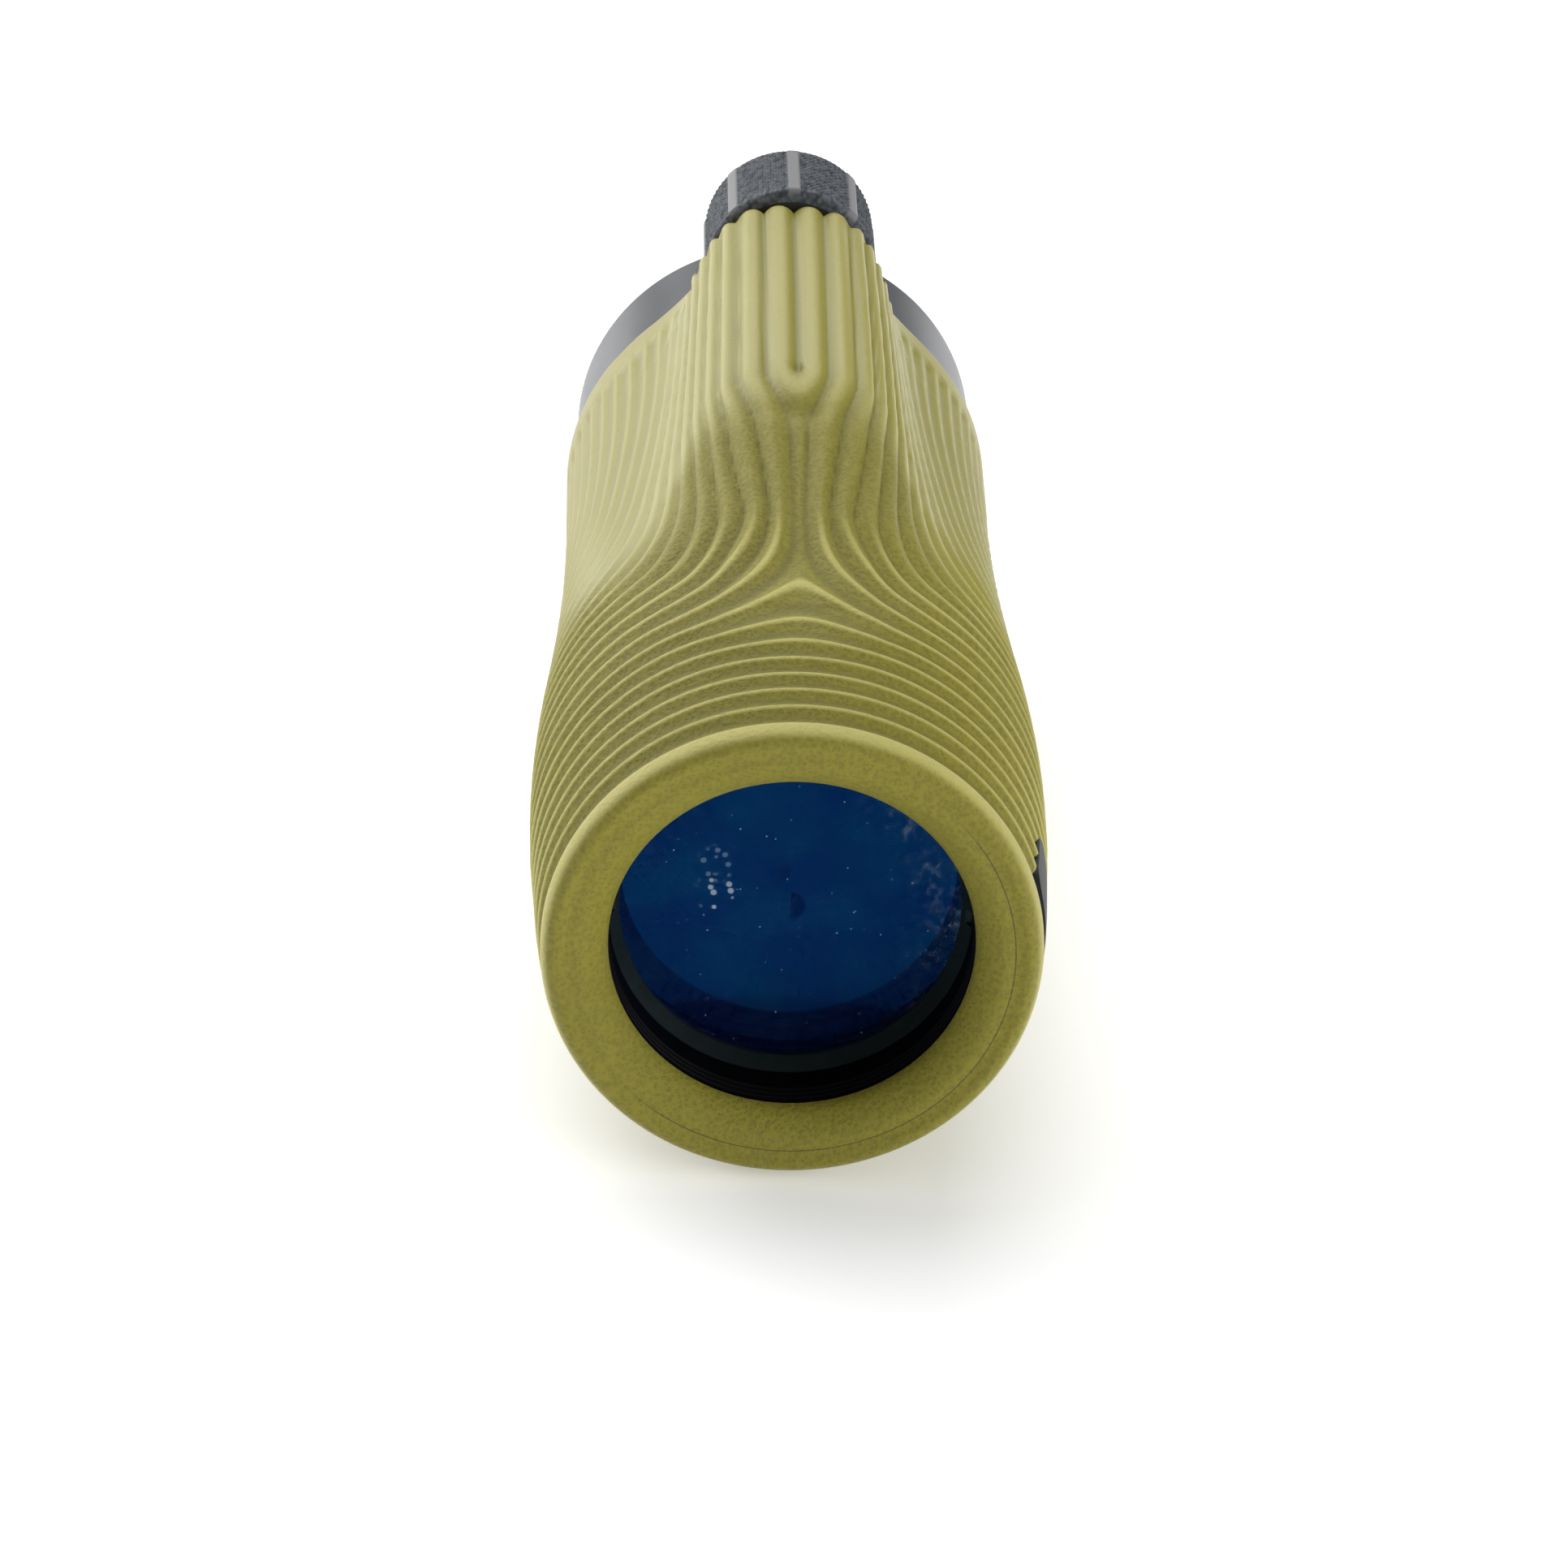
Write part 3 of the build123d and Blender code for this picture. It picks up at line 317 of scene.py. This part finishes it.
def knob_rubber():
    """Dark pebbled rubber; the ribs that stand proud are smooth, and painted a lighter grey as a painted sheen."""
    look = Look("knob_rubber")
    rib = look.add("Attribute", {"attribute_name": "rib"}).outputs["Fac"]
    pebbles = look.cells(0.55, "SMOOTH_F1")
    fine = look.noise(0.15, 3.0)
    height = look.math("ADD", pebbles, look.math("MULTIPLY", fine, 0.5))
    height = look.math("MULTIPLY", height, look.math("SUBTRACT", 1.0, look.math("MULTIPLY", rib, 0.92)))
    colour = look.mix(look.steps(pebbles, 0.2, 0.75), (0.090, 0.100, 0.116), (0.016, 0.020, 0.027))
    # painted sheen: the ribs are coloured a lighter grey
    colour = look.mix(rib, colour, (0.16, 0.16, 0.165))
    rough = look.math("SUBTRACT", 0.66, look.math("MULTIPLY", rib, 0.22))
    return look.principled(Base_Color=colour, Roughness=rough, Normal=look.bump(height, 0.16, 1.0))


def coated_glass(name, reflection, through, dust=0.0):
    """A coated lens surface: a faint coloured reflection over what lies behind it, and dust."""
    look = Look(name)
    clouds = look.steps(look.noise(7.0, 3.0), 0.42, 0.66)
    tint = look.mix(clouds, reflection, (reflection[0], reflection[1] * 1.7, reflection[2] * 1.15))
    glossy = look.add("BsdfGlossy", Color=tint, Roughness=0.02)
    clear = look.add("BsdfTransparent", Color=through)
    both = look.add("AddShader")
    look.put(both.inputs[0], glossy.outputs[0])
    look.put(both.inputs[1], clear.outputs[0])
    shader = both.outputs[0]
    if dust:
        x, _, z = look.axes()
        rise = look.math("SUBTRACT", z, AXIS * MM)
        body = look.add("BsdfDiffuse", Color=(0.0006, 0.002, 0.018))
        with_body = look.add("AddShader")
        look.put(with_body.inputs[0], shader)
        look.put(with_body.inputs[1], body.outputs[0])
        shader = with_body.outputs[0]

        def near(centre_x, centre_rise, outer, inner):
            """1 within inner of a spot on the glass, 0 beyond outer."""
            dx = look.math("SUBTRACT", x, centre_x * MM)
            dz = look.math("SUBTRACT", rise, centre_rise * MM)
            squares = look.math("ADD", look.math("MULTIPLY", dx, dx), look.math("MULTIPLY", dz, dz))
            return look.steps(look.math("SQRT", squares), outer * MM, inner * MM)

        specks = look.steps(look.cells(1.1, "F1"), 0.10, 0.05)
        specks = look.math("MULTIPLY", specks, look.steps(look.noise(2.7, 1.0), 0.50, 0.58))
        # one cluster of crumbs, left of the middle
        crumbs = look.math("MULTIPLY", look.steps(look.cells(0.9, "F1"), 0.40, 0.24), near(-6.7, 1.0, 2.3, 1.4))
        crumbs = look.math("MAXIMUM", crumbs, look.math("MULTIPLY", specks, 0.8))
        film = look.steps(look.noise(0.7, 5.0, 0.65), 0.46, 0.74)
        streaks = look.steps(look.noise(2.2, 4.0), 0.40, 0.62)
        # the film is thickest near the rim on the upper right
        edge = look.math("SUBTRACT", 1.0, near(0.0, 0.0, 15.5, 9.5))
        slant = look.math("ADD", x, look.math("MULTIPLY", rise, 0.4))
        side = look.math("MULTIPLY", edge, look.steps(slant, 4 * MM, 14 * MM))
        film = look.math("MULTIPLY", film, look.math("ADD", 0.04, look.math("MULTIPLY", side, streaks)))
        cover = look.math("ADD", look.math("MULTIPLY", crumbs, 0.6), look.math("MULTIPLY", film, 0.38))
        dirt = look.add("BsdfDiffuse", Color=(0.40, 0.52, 0.62))
        blend = look.add("MixShader", Fac=look.math("MULTIPLY", cover, dust))
        look.put(blend.inputs[1], shader)
        look.put(blend.inputs[2], dirt.outputs[0])
        shader = blend.outputs[0]
    return look.surface(shader)


def prism_glass():
    look = Look("prism_glass")
    scratches = look.noise(1.5, 4.0)
    return look.principled(
        Base_Color=(0.85, 0.9, 0.88), Roughness=look.math("MULTIPLY", scratches, 0.08), IOR=1.57,
        Transmission_Weight=0.9,
    )


def side_inlay():
    """The plain dark inlay: satin, very slightly brushed along its length."""
    look = Look("plate_dark")
    x, y, z = look.axes()
    stretched = look.add("CombineXYZ", X=x, Y=look.math("MULTIPLY", y, 0.05), Z=z)
    brushed = look.noise(0.12, 3.0, vector=stretched.outputs[0])
    tone = look.mix(look.steps(brushed, 0.4, 0.7), (0.006, 0.007, 0.010), (0.014, 0.015, 0.018))
    return look.principled(
        Base_Color=tone, Roughness=0.55, Specular_IOR_Level=0.3, Normal=look.bump(brushed, 0.01, 0.5),
    )


SLOT_LOOKS = {
    "rubber_olive": olive_rubber(),
    "housing_black": moulded("housing_black", (0.02, 0.02, 0.022), 0.55),
    "plate_dark": side_inlay(),
    "steel": turned_metal("steel", (0.56, 0.56, 0.57), 0.30),
    "brass": turned_metal("brass", (0.72, 0.50, 0.22), 0.32),
    "black_metal": turned_metal("black_metal", (0.0015, 0.0015, 0.002), 0.55, 0.0, 0.4, 0.06),
    "ring_metal": turned_metal("ring_metal", (0.007, 0.0125, 0.014), 0.40, 0.0, 0.12, 0.25),
    "coated_glass": coated_glass("coated_glass", (0.0002, 0.0075, 0.029), (0.7, 0.75, 0.8), 1.0),
    "clear_glass": coated_glass("clear_glass", (0.0002, 0.0008, 0.006), (0.5, 0.55, 0.6)),
    "prism_glass": prism_glass(),
    "baffle_black": moulded("baffle_black", (0.006, 0.006, 0.006), 0.85, 0.2, 0.05),
    "seal_rubber": moulded("seal_rubber", (0.02, 0.02, 0.02), 0.5, 0.4, 0.01),
    "cup_rubber": moulded("cup_rubber", (0.026, 0.029, 0.036), 0.32, 0.3, 0.02),
    "cup_plastic": moulded("cup_plastic", (0.02, 0.02, 0.022), 0.45),
    "knob_plastic": moulded("knob_plastic", (0.022, 0.022, 0.025), 0.42),
    "knob_rubber": knob_rubber(),
    "rod_steel": turned_metal("rod_steel", (0.62, 0.62, 0.62), 0.22),
}

for part in RECORD["subparts"]:
    node = NODES[part["node"]]
    node.data.materials.clear()
    node.data.materials.append(SLOT_LOOKS[part["material_slot"]])


def finish_piece(thing, body, slot, *nodes):
    """Gives a new piece its material and its body, and hides the CAD nodes that it stands for."""
    thing.data.materials.append(SLOT_LOOKS[slot])
    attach(thing, body)
    if nodes:
        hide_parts(*nodes)
    return thing


# ---- Rubber armour ----
# Radius of the tube over the crests of its ribs, by station.
TUBE = [
    (2.3, 22.5),
    (6.3, 22.95),
    (12.5, 23.35),
    (21.0, 23.85),
    (30.0, 24.0),
    (41.7, 23.6),
    (52.0, 22.85),
    (62.6, 22.2),
    (73.0, 21.8),
    (83.5, 21.65),
    (94.0, 21.75),
    (104.4, 21.85),
]
# Height of the hump above the optical axis, and its half width low down, by station.
HUMP_TOP = [(24.0, 19.0), (30.0, 21.5), (36.0, 24.6), (42.0, 26.7), (48.0, 28.5), (54.0, 30.1), (60.0, 31.5),
            (66.0, 32.6), (72.0, 33.5), (79.0, 34.4), (86.0, 35.0), (94.0, 35.4)]
HUMP_HALF = [(24.0, 6.5), (36.0, 10.2), (42.0, 12.2), (48.0, 12.8), (60.0, 12.9), (94.0, 12.0)]
HUMP_BLEND = 6.5
HUMP_START, HUMP_END, HUMP_POWER = 24.0, 94.0, 3.0
CHEEK_DROP = 0.62  # how much of the hump is gone, beside the knob, by the rear edge
KEEL_HALF, KEEL_POWER, KEEL_START, KEEL_END = 8.5, 8.0, 8.0, 103.0
POCKET_R, POCKET_BLEND, KEEL_BLEND = KNOB_R + 0.35, 0.8, 1.6
SOCKET_R, SOCKET_DEPTH, SOCKET_MIDDLE = 4.6, 6.4, 2.2  # opening for the tripod insert
STRAP_HALF, STRAP_POCKET, STRAP_DEPTH, STRAP_MIDDLE = 4.4, 8.0, 5.0, 1.5  # pocket round the strap bar

# Ribs: they are contour lines of one field, rings in front that turn along the tube beside the hump.
RING_ONE, RING_PITCH, RING_CHANGE, RING_PITCH_REAR = 2.3, 2.86, 22.2, 3.12
RIB_PITCH = 3.1  # between the ribs that run along the hump
SPINE_LEVEL, SPINE_START, SPINE_SLOPE = 7.5, 61.0, 7.0
SADDLE_LEVEL, SADDLE_BLEND = 8.40, 3.6
RIB_DEPTH, RIB_DEPTH_HUMP = 0.70, 0.80
BEND_STATION, BEND_DIP = 54.2, 0.55  # the dip in front of the bent rib
PIT_STATION, PIT_DEPTH = 61.2, 0.45  # the pit at the end of its groove
SEAT_DEPTH, DEEPEST = 0.6, 1.05  # of the inlay's seat, and of anything sunk into the rubber
HUMP_FACE = HUMP_END - 0.7  # station at which the rear face of the hump begins
BORE_INSIDE_R = 18.6  # inner face of the rubber


def base_radius(angle, station, hump_share):
    """Radius of the armour without its ribs. angle is 0 on top and grows towards +X; all arrays."""
    radius = curve_through(TUBE, station)
    top = curve_through(HUMP_TOP, np.minimum(station, HUMP_END))
    half = curve_through(HUMP_HALF, np.minimum(station, HUMP_END))
    up = np.clip(np.cos(angle), 0.02, 1)
    hump = (np.abs(np.sin(angle) / half) ** HUMP_POWER + (up / top) ** HUMP_POWER) ** (-1 / HUMP_POWER)
    hump = np.where((np.cos(angle) > 0.3) & (station > HUMP_START), hump, 0)
    joined = smooth_max(radius, hump, HUMP_BLEND)
    cheek = 1 - CHEEK_DROP * np.clip((station - HUMP_END) / (ARMOUR_END - HUMP_END), 0, 1)
    radius = radius + (joined - radius) * cheek
    # pocket under the knob
    sideways = SHAFT * np.sin(angle)
    inside = np.clip(POCKET_R**2 - sideways**2, 0, None)
    pocket = np.where((inside > 0) & (np.cos(angle) > 0), SHAFT * np.cos(angle) - np.sqrt(inside), 99)
    cut = np.where(pocket < 90, smooth_min(radius, pocket, POCKET_BLEND), radius)
    radius = radius + (cut - radius) * (1 - hump_share)
    # keel that it stands on
    down = np.clip(-np.cos(angle), 0.02, 1)
    keel = (np.abs(np.sin(angle) / KEEL_HALF) ** KEEL_POWER + (down / AXIS) ** KEEL_POWER) ** (-1 / KEEL_POWER)
    keel_share = fade(station, KEEL_START - 4, KEEL_START + 4) * fade(station, KEEL_END + 1, KEEL_END - 5)
    joined = smooth_max(radius, np.where(np.cos(angle) < -0.3, keel, 0), KEEL_BLEND)
    radius = radius + (joined - radius) * keel_share
    return np.where(np.cos(angle) < -0.3, np.minimum(radius, AXIS / down), radius)


def rib_level(across, station):
    """The field whose whole numbers are the crests of the ribs. across is measured over the surface."""
    at_change = 1 + (RING_CHANGE - RING_ONE) / RING_PITCH
    rings = np.where(
        station < RING_CHANGE,
        1 + (station - RING_ONE) / RING_PITCH,
        at_change + (station - RING_CHANGE) / RING_PITCH_REAR,
    )
    spine = SPINE_LEVEL + np.clip((SPINE_START - station) / SPINE_SLOPE, 0, None)
    spine = smooth_min(spine, SADDLE_LEVEL, 0.25)
    crowding = 1.25 * np.clip((60 - station) / 20, 0, 1) * fade(station, 22, 40)
    spread = across * (1 + crowding * np.exp(-across / 8)) + 0.38 * np.clip(across - 7, 0, None)
    along = SPINE_LEVEL + np.sqrt(spread**2 + (RIB_PITCH * (spine - SPINE_LEVEL)) ** 2) / RIB_PITCH
    return smooth_min(rings, along, SADDLE_BLEND)


def rib_height(level, station, across):
    """0 in a groove, 1 on a crest: thin crests between wide hollows in front, broad ribs on the hump."""
    off_crest = 2 * np.abs(level - np.round(level))
    sharp = np.clip(1 - np.sqrt(off_crest**2 + 0.01), 0, 1) ** 1.7 / 0.9**1.7
    broad = 1 - off_crest**2.2
    on_hump = fade(station, 24, 46) * fade(across, 26, 14)
    return sharp * (1 - on_hump) + broad * on_hump


def armour_rows():
    """Stations of the outer surface from the first crest to the rear edge, with how much hump is in each."""
    rings = np.arange(RING_ONE, RING_CHANGE, RING_PITCH / 9)
    middle = np.arange(RING_CHANGE, 62, RING_PITCH_REAR / 9)
    rear = np.arange(62.3, HUMP_FACE, 0.58)
    body = [(s, 1.0) for s in np.concatenate([rings, middle, rear])]
    face = [(93.4, 0.995), (93.65, 0.96), (93.8, 0.88), (93.88, 0.7), (93.94, 0.45), (94.0, 0.2), (94.06, 0.0)]
    tail = [(s, 0.0) for s in np.arange(94.5, ARMOUR_END - 0.5, 0.55)]
    return np.array(body + face + tail)


def armour_angles():
    """Column angles: close together over the hump, wide apart underneath."""
    half, here = [0.0], 0.0
    while True:
        degrees = np.degrees(here)
        here += radians(0.56 if degrees < 24 else 0.98 if degrees < 106 else 2.5)
        if here > pi - radians(1.0):
            break
        half.append(here)
    half = np.array(half)
    return np.concatenate([-half[:0:-1], half, [pi]])


# The lip: bore, inner roll, gutter, outer roll, then out to the first crest.
LIP = [(3.4, 16.42), (2.75, 16.5), (2.15, 16.74), (1.62, 17.14), (1.15, 17.65), (0.75, 18.2), (0.46, 18.8),
       (0.36, 19.4), (0.42, 20.0), (0.27, 20.6), (0.10, 21.1), (0.22, 21.6), (0.62, 22.05), (1.2, 22.35),
       (1.85, 22.49)]


def cut_openings(thing):
    """Cuts the tripod socket and the pocket of the strap bar out of the underside."""
    socket, bar = centre("tripod_insert"), centre("strap_bar")
    shapes = bpy.ops.mesh
    for add, unit, place, size in (
        (
            shapes.primitive_cylinder_add,
            {"vertices": 72, "radius": 0.5, "depth": 1.0},
            (0, socket.y, SOCKET_MIDDLE * MM),
            (2 * SOCKET_R, 2 * SOCKET_R, SOCKET_DEPTH),
        ),
        (
            shapes.primitive_cube_add,
            {"size": 1.0},
            (0, bar.y, STRAP_MIDDLE * MM),
            (2 * STRAP_HALF, STRAP_POCKET, STRAP_DEPTH),
        ),
    ):
        add(location=place, **unit)
        cutter = bpy.context.active_object
        cutter.scale = Vector(size) * MM
        bpy.context.view_layer.update()
        cut = thing.modifiers.new("opening", "BOOLEAN")
        cut.operation, cut.solver, cut.object = "DIFFERENCE", "EXACT", cutter
        shape = bpy.data.meshes.new_from_object(thing.evaluated_get(bpy.context.evaluated_depsgraph_get()))
        thing.modifiers.clear()
        thing.data = shape
        bpy.data.objects.remove(cutter)


def armour():
    angles = armour_angles()
    rows = armour_rows()
    angle, station = np.meshgrid(angles, rows[:, 0])
    share = np.repeat(rows[:, 1:], len(angles), axis=1)
    radius = base_radius(angle, station, share)
    place = np.stack([radius * np.sin(angle), station + FRONT, radius * np.cos(angle) + AXIS], axis=-1)
    # distance over the surface from the top line
    step = np.linalg.norm(np.diff(place, axis=1), axis=-1)
    travelled = np.concatenate([np.zeros((len(rows), 1)), np.cumsum(step, axis=1)], axis=1)
    top = int(np.argmin(np.abs(angles)))
    across = np.abs(travelled - travelled[:, top : top + 1])
    hold = int(np.searchsorted(rows[:, 0], HUMP_FACE))
    across[hold:] = across[hold]  # the ribs run on straight beside the knob
    level = rib_level(across, station)
    height = rib_height(level, station, across)
    keep = fade(station, ARMOUR_END - 3.0, ARMOUR_END - 5.5)  # plain band at the rear edge
    keep = keep * fade(np.abs(np.degrees(angle)), 158, 146)  # plain keel
    depth = RIB_DEPTH + (RIB_DEPTH_HUMP - RIB_DEPTH) * fade(station, 24, 46)
    depth = depth * (1 - 0.5 * fade(station, 46, 56) * fade(across, 13, 20))  # faint on the flanks
    # the surface drops in front of the middle ribs' bend, and their groove ends in a small pit
    dips = BEND_DIP * np.exp(-(((station - BEND_STATION) / 1.5) ** 2) - (across / 3.4) ** 2)
    dips += PIT_DEPTH * np.exp(-(((station - PIT_STATION) / 0.6) ** 2) - (across / 0.55) ** 2)
    along_rows = np.gradient(place, axis=0)
    along_columns = np.gradient(place, axis=1)
    normal = np.cross(along_columns, along_rows)
    normal /= np.maximum(np.linalg.norm(normal, axis=-1, keepdims=True), 1e-9)
    outward = np.stack([np.sin(angle), 0 * angle, np.cos(angle)], axis=-1)
    normal *= np.sign(np.sum(normal * outward, axis=-1, keepdims=True) + 1e-9)
    normal[hold:] = outward[hold:]  # behind the hump the grooves sink straight towards the axis
    # seat of the inlay on the right side
    rise = radius * np.cos(angle)
    seat = fade(station, PLATE_FRONT - 0.3, PLATE_FRONT) * fade(station, PLATE_REAR + 0.3, PLATE_REAR)
    seat = seat * fade(rise, PLATE_BOTTOM - 0.3, PLATE_BOTTOM) * fade(rise, PLATE_TOP + 0.3, PLATE_TOP) * (angle > 0)
    sunk = np.minimum(depth * keep * (1 - height) + SEAT_DEPTH * seat + dips, DEEPEST)
    outer = place - normal * sunk[..., None]

    def ring_row(s, r):
        """One row round the tube at a fixed station; r is one radius or one for each column."""
        return np.stack([r * np.sin(angles), np.full_like(angles, s + FRONT), r * np.cos(angles) + AXIS], axis=-1)

    lip_s, lip_r = np.array(LIP).T
    order = np.arange(len(LIP))
    fine = np.linspace(0, len(LIP) - 1, 2 * len(LIP) - 1)
    lip = [
        ring_row(curve_through(list(zip(order, lip_s)), f), curve_through(list(zip(order, lip_r)), f)) for f in fine
    ]
    last = radius[-1]
    edge = [
        ring_row(s, r)
        for s, r in (
            (ARMOUR_END - 0.18, last - 0.06),
            (ARMOUR_END - 0.03, last - 0.22),
            (ARMOUR_END, np.minimum(last - 0.5, 21.3)),
            (ARMOUR_END, np.minimum(last - 1.0, 19.95)),
        )
    ]
    inner = [ring_row(s, BORE_INSIDE_R) for s in (ARMOUR_END - 2, 60, 40, 8)] + [ring_row(4.2, 17.0)]
    grid = np.array(lip + list(outer) + edge + inner + lip[:1])
    # ridge drives the painted highlight on the crests and the painted shade in the grooves; on the lip it rises
    # towards the first crest's painted highlight
    ridge = np.full(grid.shape[:2], 0.5)
    ridge[: len(lip)] = 0.5 + 0.5 * fade(np.arange(len(lip)), len(lip) - 9, len(lip) - 2)[:, None]
    ridge[len(lip) : len(lip) + len(rows)] = np.where(keep > 0.5, height, 0.5)
    plain = np.full(grid.shape[:2], 0.7)
    plain[: len(lip)] = 0.1
    worn = np.clip(fade(station, 50, 63) + fade(across, 11, 19) * fade(station, 38, 52), 0, 1)
    plain[len(lip) : len(lip) + len(rows)] = worn
    # in front of the hump the crests get less of their painted highlight and take the grooves' colour, painted shade
    # and all
    highlight_cut_before_hump = 0.6 * fade(station, 31, 42) * (1 - worn) * fade(across, 24, 14)
    ridge[len(lip) : len(lip) + len(rows)] -= highlight_cut_before_hump * np.clip(height - 0.5, 0, None)
    thing = grid_object("armour", grid[:-1], attributes={"ridge": ridge[:-1], "smooth": plain[:-1]})
    cut_openings(thing)
    return finish_piece(thing, "body", "rubber_olive", "rubber_armour")


armour()


# ---- Grip of the focus knob: pebbled, with smooth ribs ----
RIBS, RIB_WIDTH, RIB_RISE = 8, 1.25, 0.22
KNURLS, KNURL_PITCH, KNURL_DEPTH = 96, 0.56, 0.15  # round the grip, along it, and how deep
EDGE_ROUND = 0.8


def knob_grip():
    columns, rows = 480, 60
    angles = np.linspace(0, 2 * pi, columns, endpoint=False)
    across = (angles * RIBS / (2 * pi) + 0.5) % 1 - 0.5
    off_rib = np.abs(across) * 2 * pi * KNOB_R / RIBS
    rib = fade(off_rib, RIB_WIDTH / 2 + 0.12, RIB_WIDTH / 2 - 0.12)
    profile = [(KNOB_FRONT, 7.3), (KNOB_FRONT, 7.9), (KNOB_FRONT + 0.12, 8.35), (KNOB_FRONT + 0.5, KNOB_R - RIB_RISE)]
    profile += [(s, KNOB_R - RIB_RISE) for s in np.linspace(KNOB_FRONT + 0.8, KNOB_REAR - 1.1, rows)]
    for turn in np.linspace(0, 90, 8):
        curl = radians(turn)
        s = KNOB_REAR - EDGE_ROUND + EDGE_ROUND * sin(curl)
        profile.append((s, KNOB_R - RIB_RISE - EDGE_ROUND + EDGE_ROUND * cos(curl)))
    profile += [(KNOB_REAR, 7.45), (KNOB_REAR - 0.05, 7.3), (KNOB_REAR - 1.2, 7.29)]
    grid, ribs = [], []
    for i, (s, r) in enumerate(profile):
        on = fade(np.array(r), 7.9, 8.4) * fade(s, KNOB_REAR - 0.5, KNOB_REAR - 1.0)
        waves = np.sin(angles * KNURLS + (i % 2) * pi) * np.sin(s * 2 * pi / KNURL_PITCH)
        knurl = KNURL_DEPTH * waves * (1 - rib) * on
        radius = r + RIB_RISE * rib * on + knurl
        grid.append(np.stack([radius * np.sin(angles), np.full_like(angles, s + FRONT),
                              radius * np.cos(angles) + AXIS + SHAFT], axis=-1))
        ribs.append(rib * float(on))
    thing = grid_object("knob_grip_rubber", np.array(grid), attributes={"rib": np.array(ribs)})
    return finish_piece(thing, "focus_knob", "knob_rubber", "knob_grip")


knob_grip()


# ---- Floor, light and camera ----
def floor():
    mesh = bpy.data.meshes.new("floor")
    half = 6.0
    corners = [(-half, -half, 0), (half, -half, 0), (half, half, 0), (-half, half, 0)]
    mesh.from_pydata(corners, [], [(0, 1, 2, 3)])
    thing = bpy.data.objects.new("floor", mesh)
    bpy.context.scene.collection.objects.link(thing)
    look = Look("floor")
    tone = look.mix(look.noise(60.0, 2.0), (0.90, 0.90, 0.90), (0.93, 0.93, 0.93))
    mesh.materials.append(look.principled(
        Base_Color=tone, Roughness=0.8, Specular_IOR_Level=0.2, Emission_Color=(1.0, 1.0, 1.0),
        Emission_Strength=0.28,
    ))


def area_light(name, place, target, size, power):
    light = bpy.data.lights.new(name, "AREA")
    light.shape = "RECTANGLE"
    light.size, light.size_y = size
    light.energy = power
    thing = bpy.data.objects.new(name, light)
    thing.location = place
    thing.rotation_mode = "QUATERNION"
    thing.rotation_quaternion = (Vector(target) - Vector(place)).to_track_quat("-Z", "Y")
    bpy.context.scene.collection.objects.link(thing)


def world():
    scene = bpy.context.scene
    scene.world = bpy.data.worlds.new("studio")
    scene.world.use_nodes = True
    background = scene.world.node_tree.nodes["Background"]
    background.inputs["Color"].default_value = (1.0, 1.0, 1.0, 1)
    background.inputs["Strength"].default_value = 0.34
    scene.view_settings.view_transform = "Standard"


# The camera stands in front and above, and the object leans a little in its view.
CAMERA_PLACE = (-1.46, -447.2, 246.1)  # from the middle of the lip, before the lean
CAMERA_YAW, CAMERA_DOWN, CAMERA_ROLL, LEAN = 0.15, 27.06, -1.76, 4.5
CAMERA_LENS = 131.76


def camera():
    data = bpy.data.cameras.new("camera")
    data.sensor_width = 36.0
    data.lens = CAMERA_LENS
    data.clip_start, data.clip_end = 0.05, 20
    thing = bpy.data.objects.new("camera", data)
    bpy.context.scene.collection.objects.link(thing)
    turn = (
        Matrix.Rotation(radians(-CAMERA_YAW), 4, "Z")
        @ Matrix.Rotation(radians(90 - CAMERA_DOWN), 4, "X")
        @ Matrix.Rotation(radians(CAMERA_ROLL), 4, "Z")
    )
    lean = Matrix.Rotation(radians(-LEAN), 4, "Y")
    lip = Matrix.Translation(Vector((0, FRONT, AXIS)) * MM)
    thing.matrix_world = lip @ lean @ Matrix.Translation(Vector(CAMERA_PLACE) * MM) @ turn
    bpy.context.scene.camera = thing


floor()
world()
TARGET = (0, 0, AXIS * MM)
area_light("top", (-0.25, 0.80, 1.35), TARGET, (1.9, 1.7), 25.0)
area_light("back", (-0.95, 1.15, 0.60), TARGET, (1.2, 0.5), 4.0)
area_light("left", (-1.15, 0.75, 0.42), TARGET, (1.0, 0.6), 9.0)
area_light("right", (0.95, -0.60, 0.34), TARGET, (0.9, 0.6), 7.0)
camera()
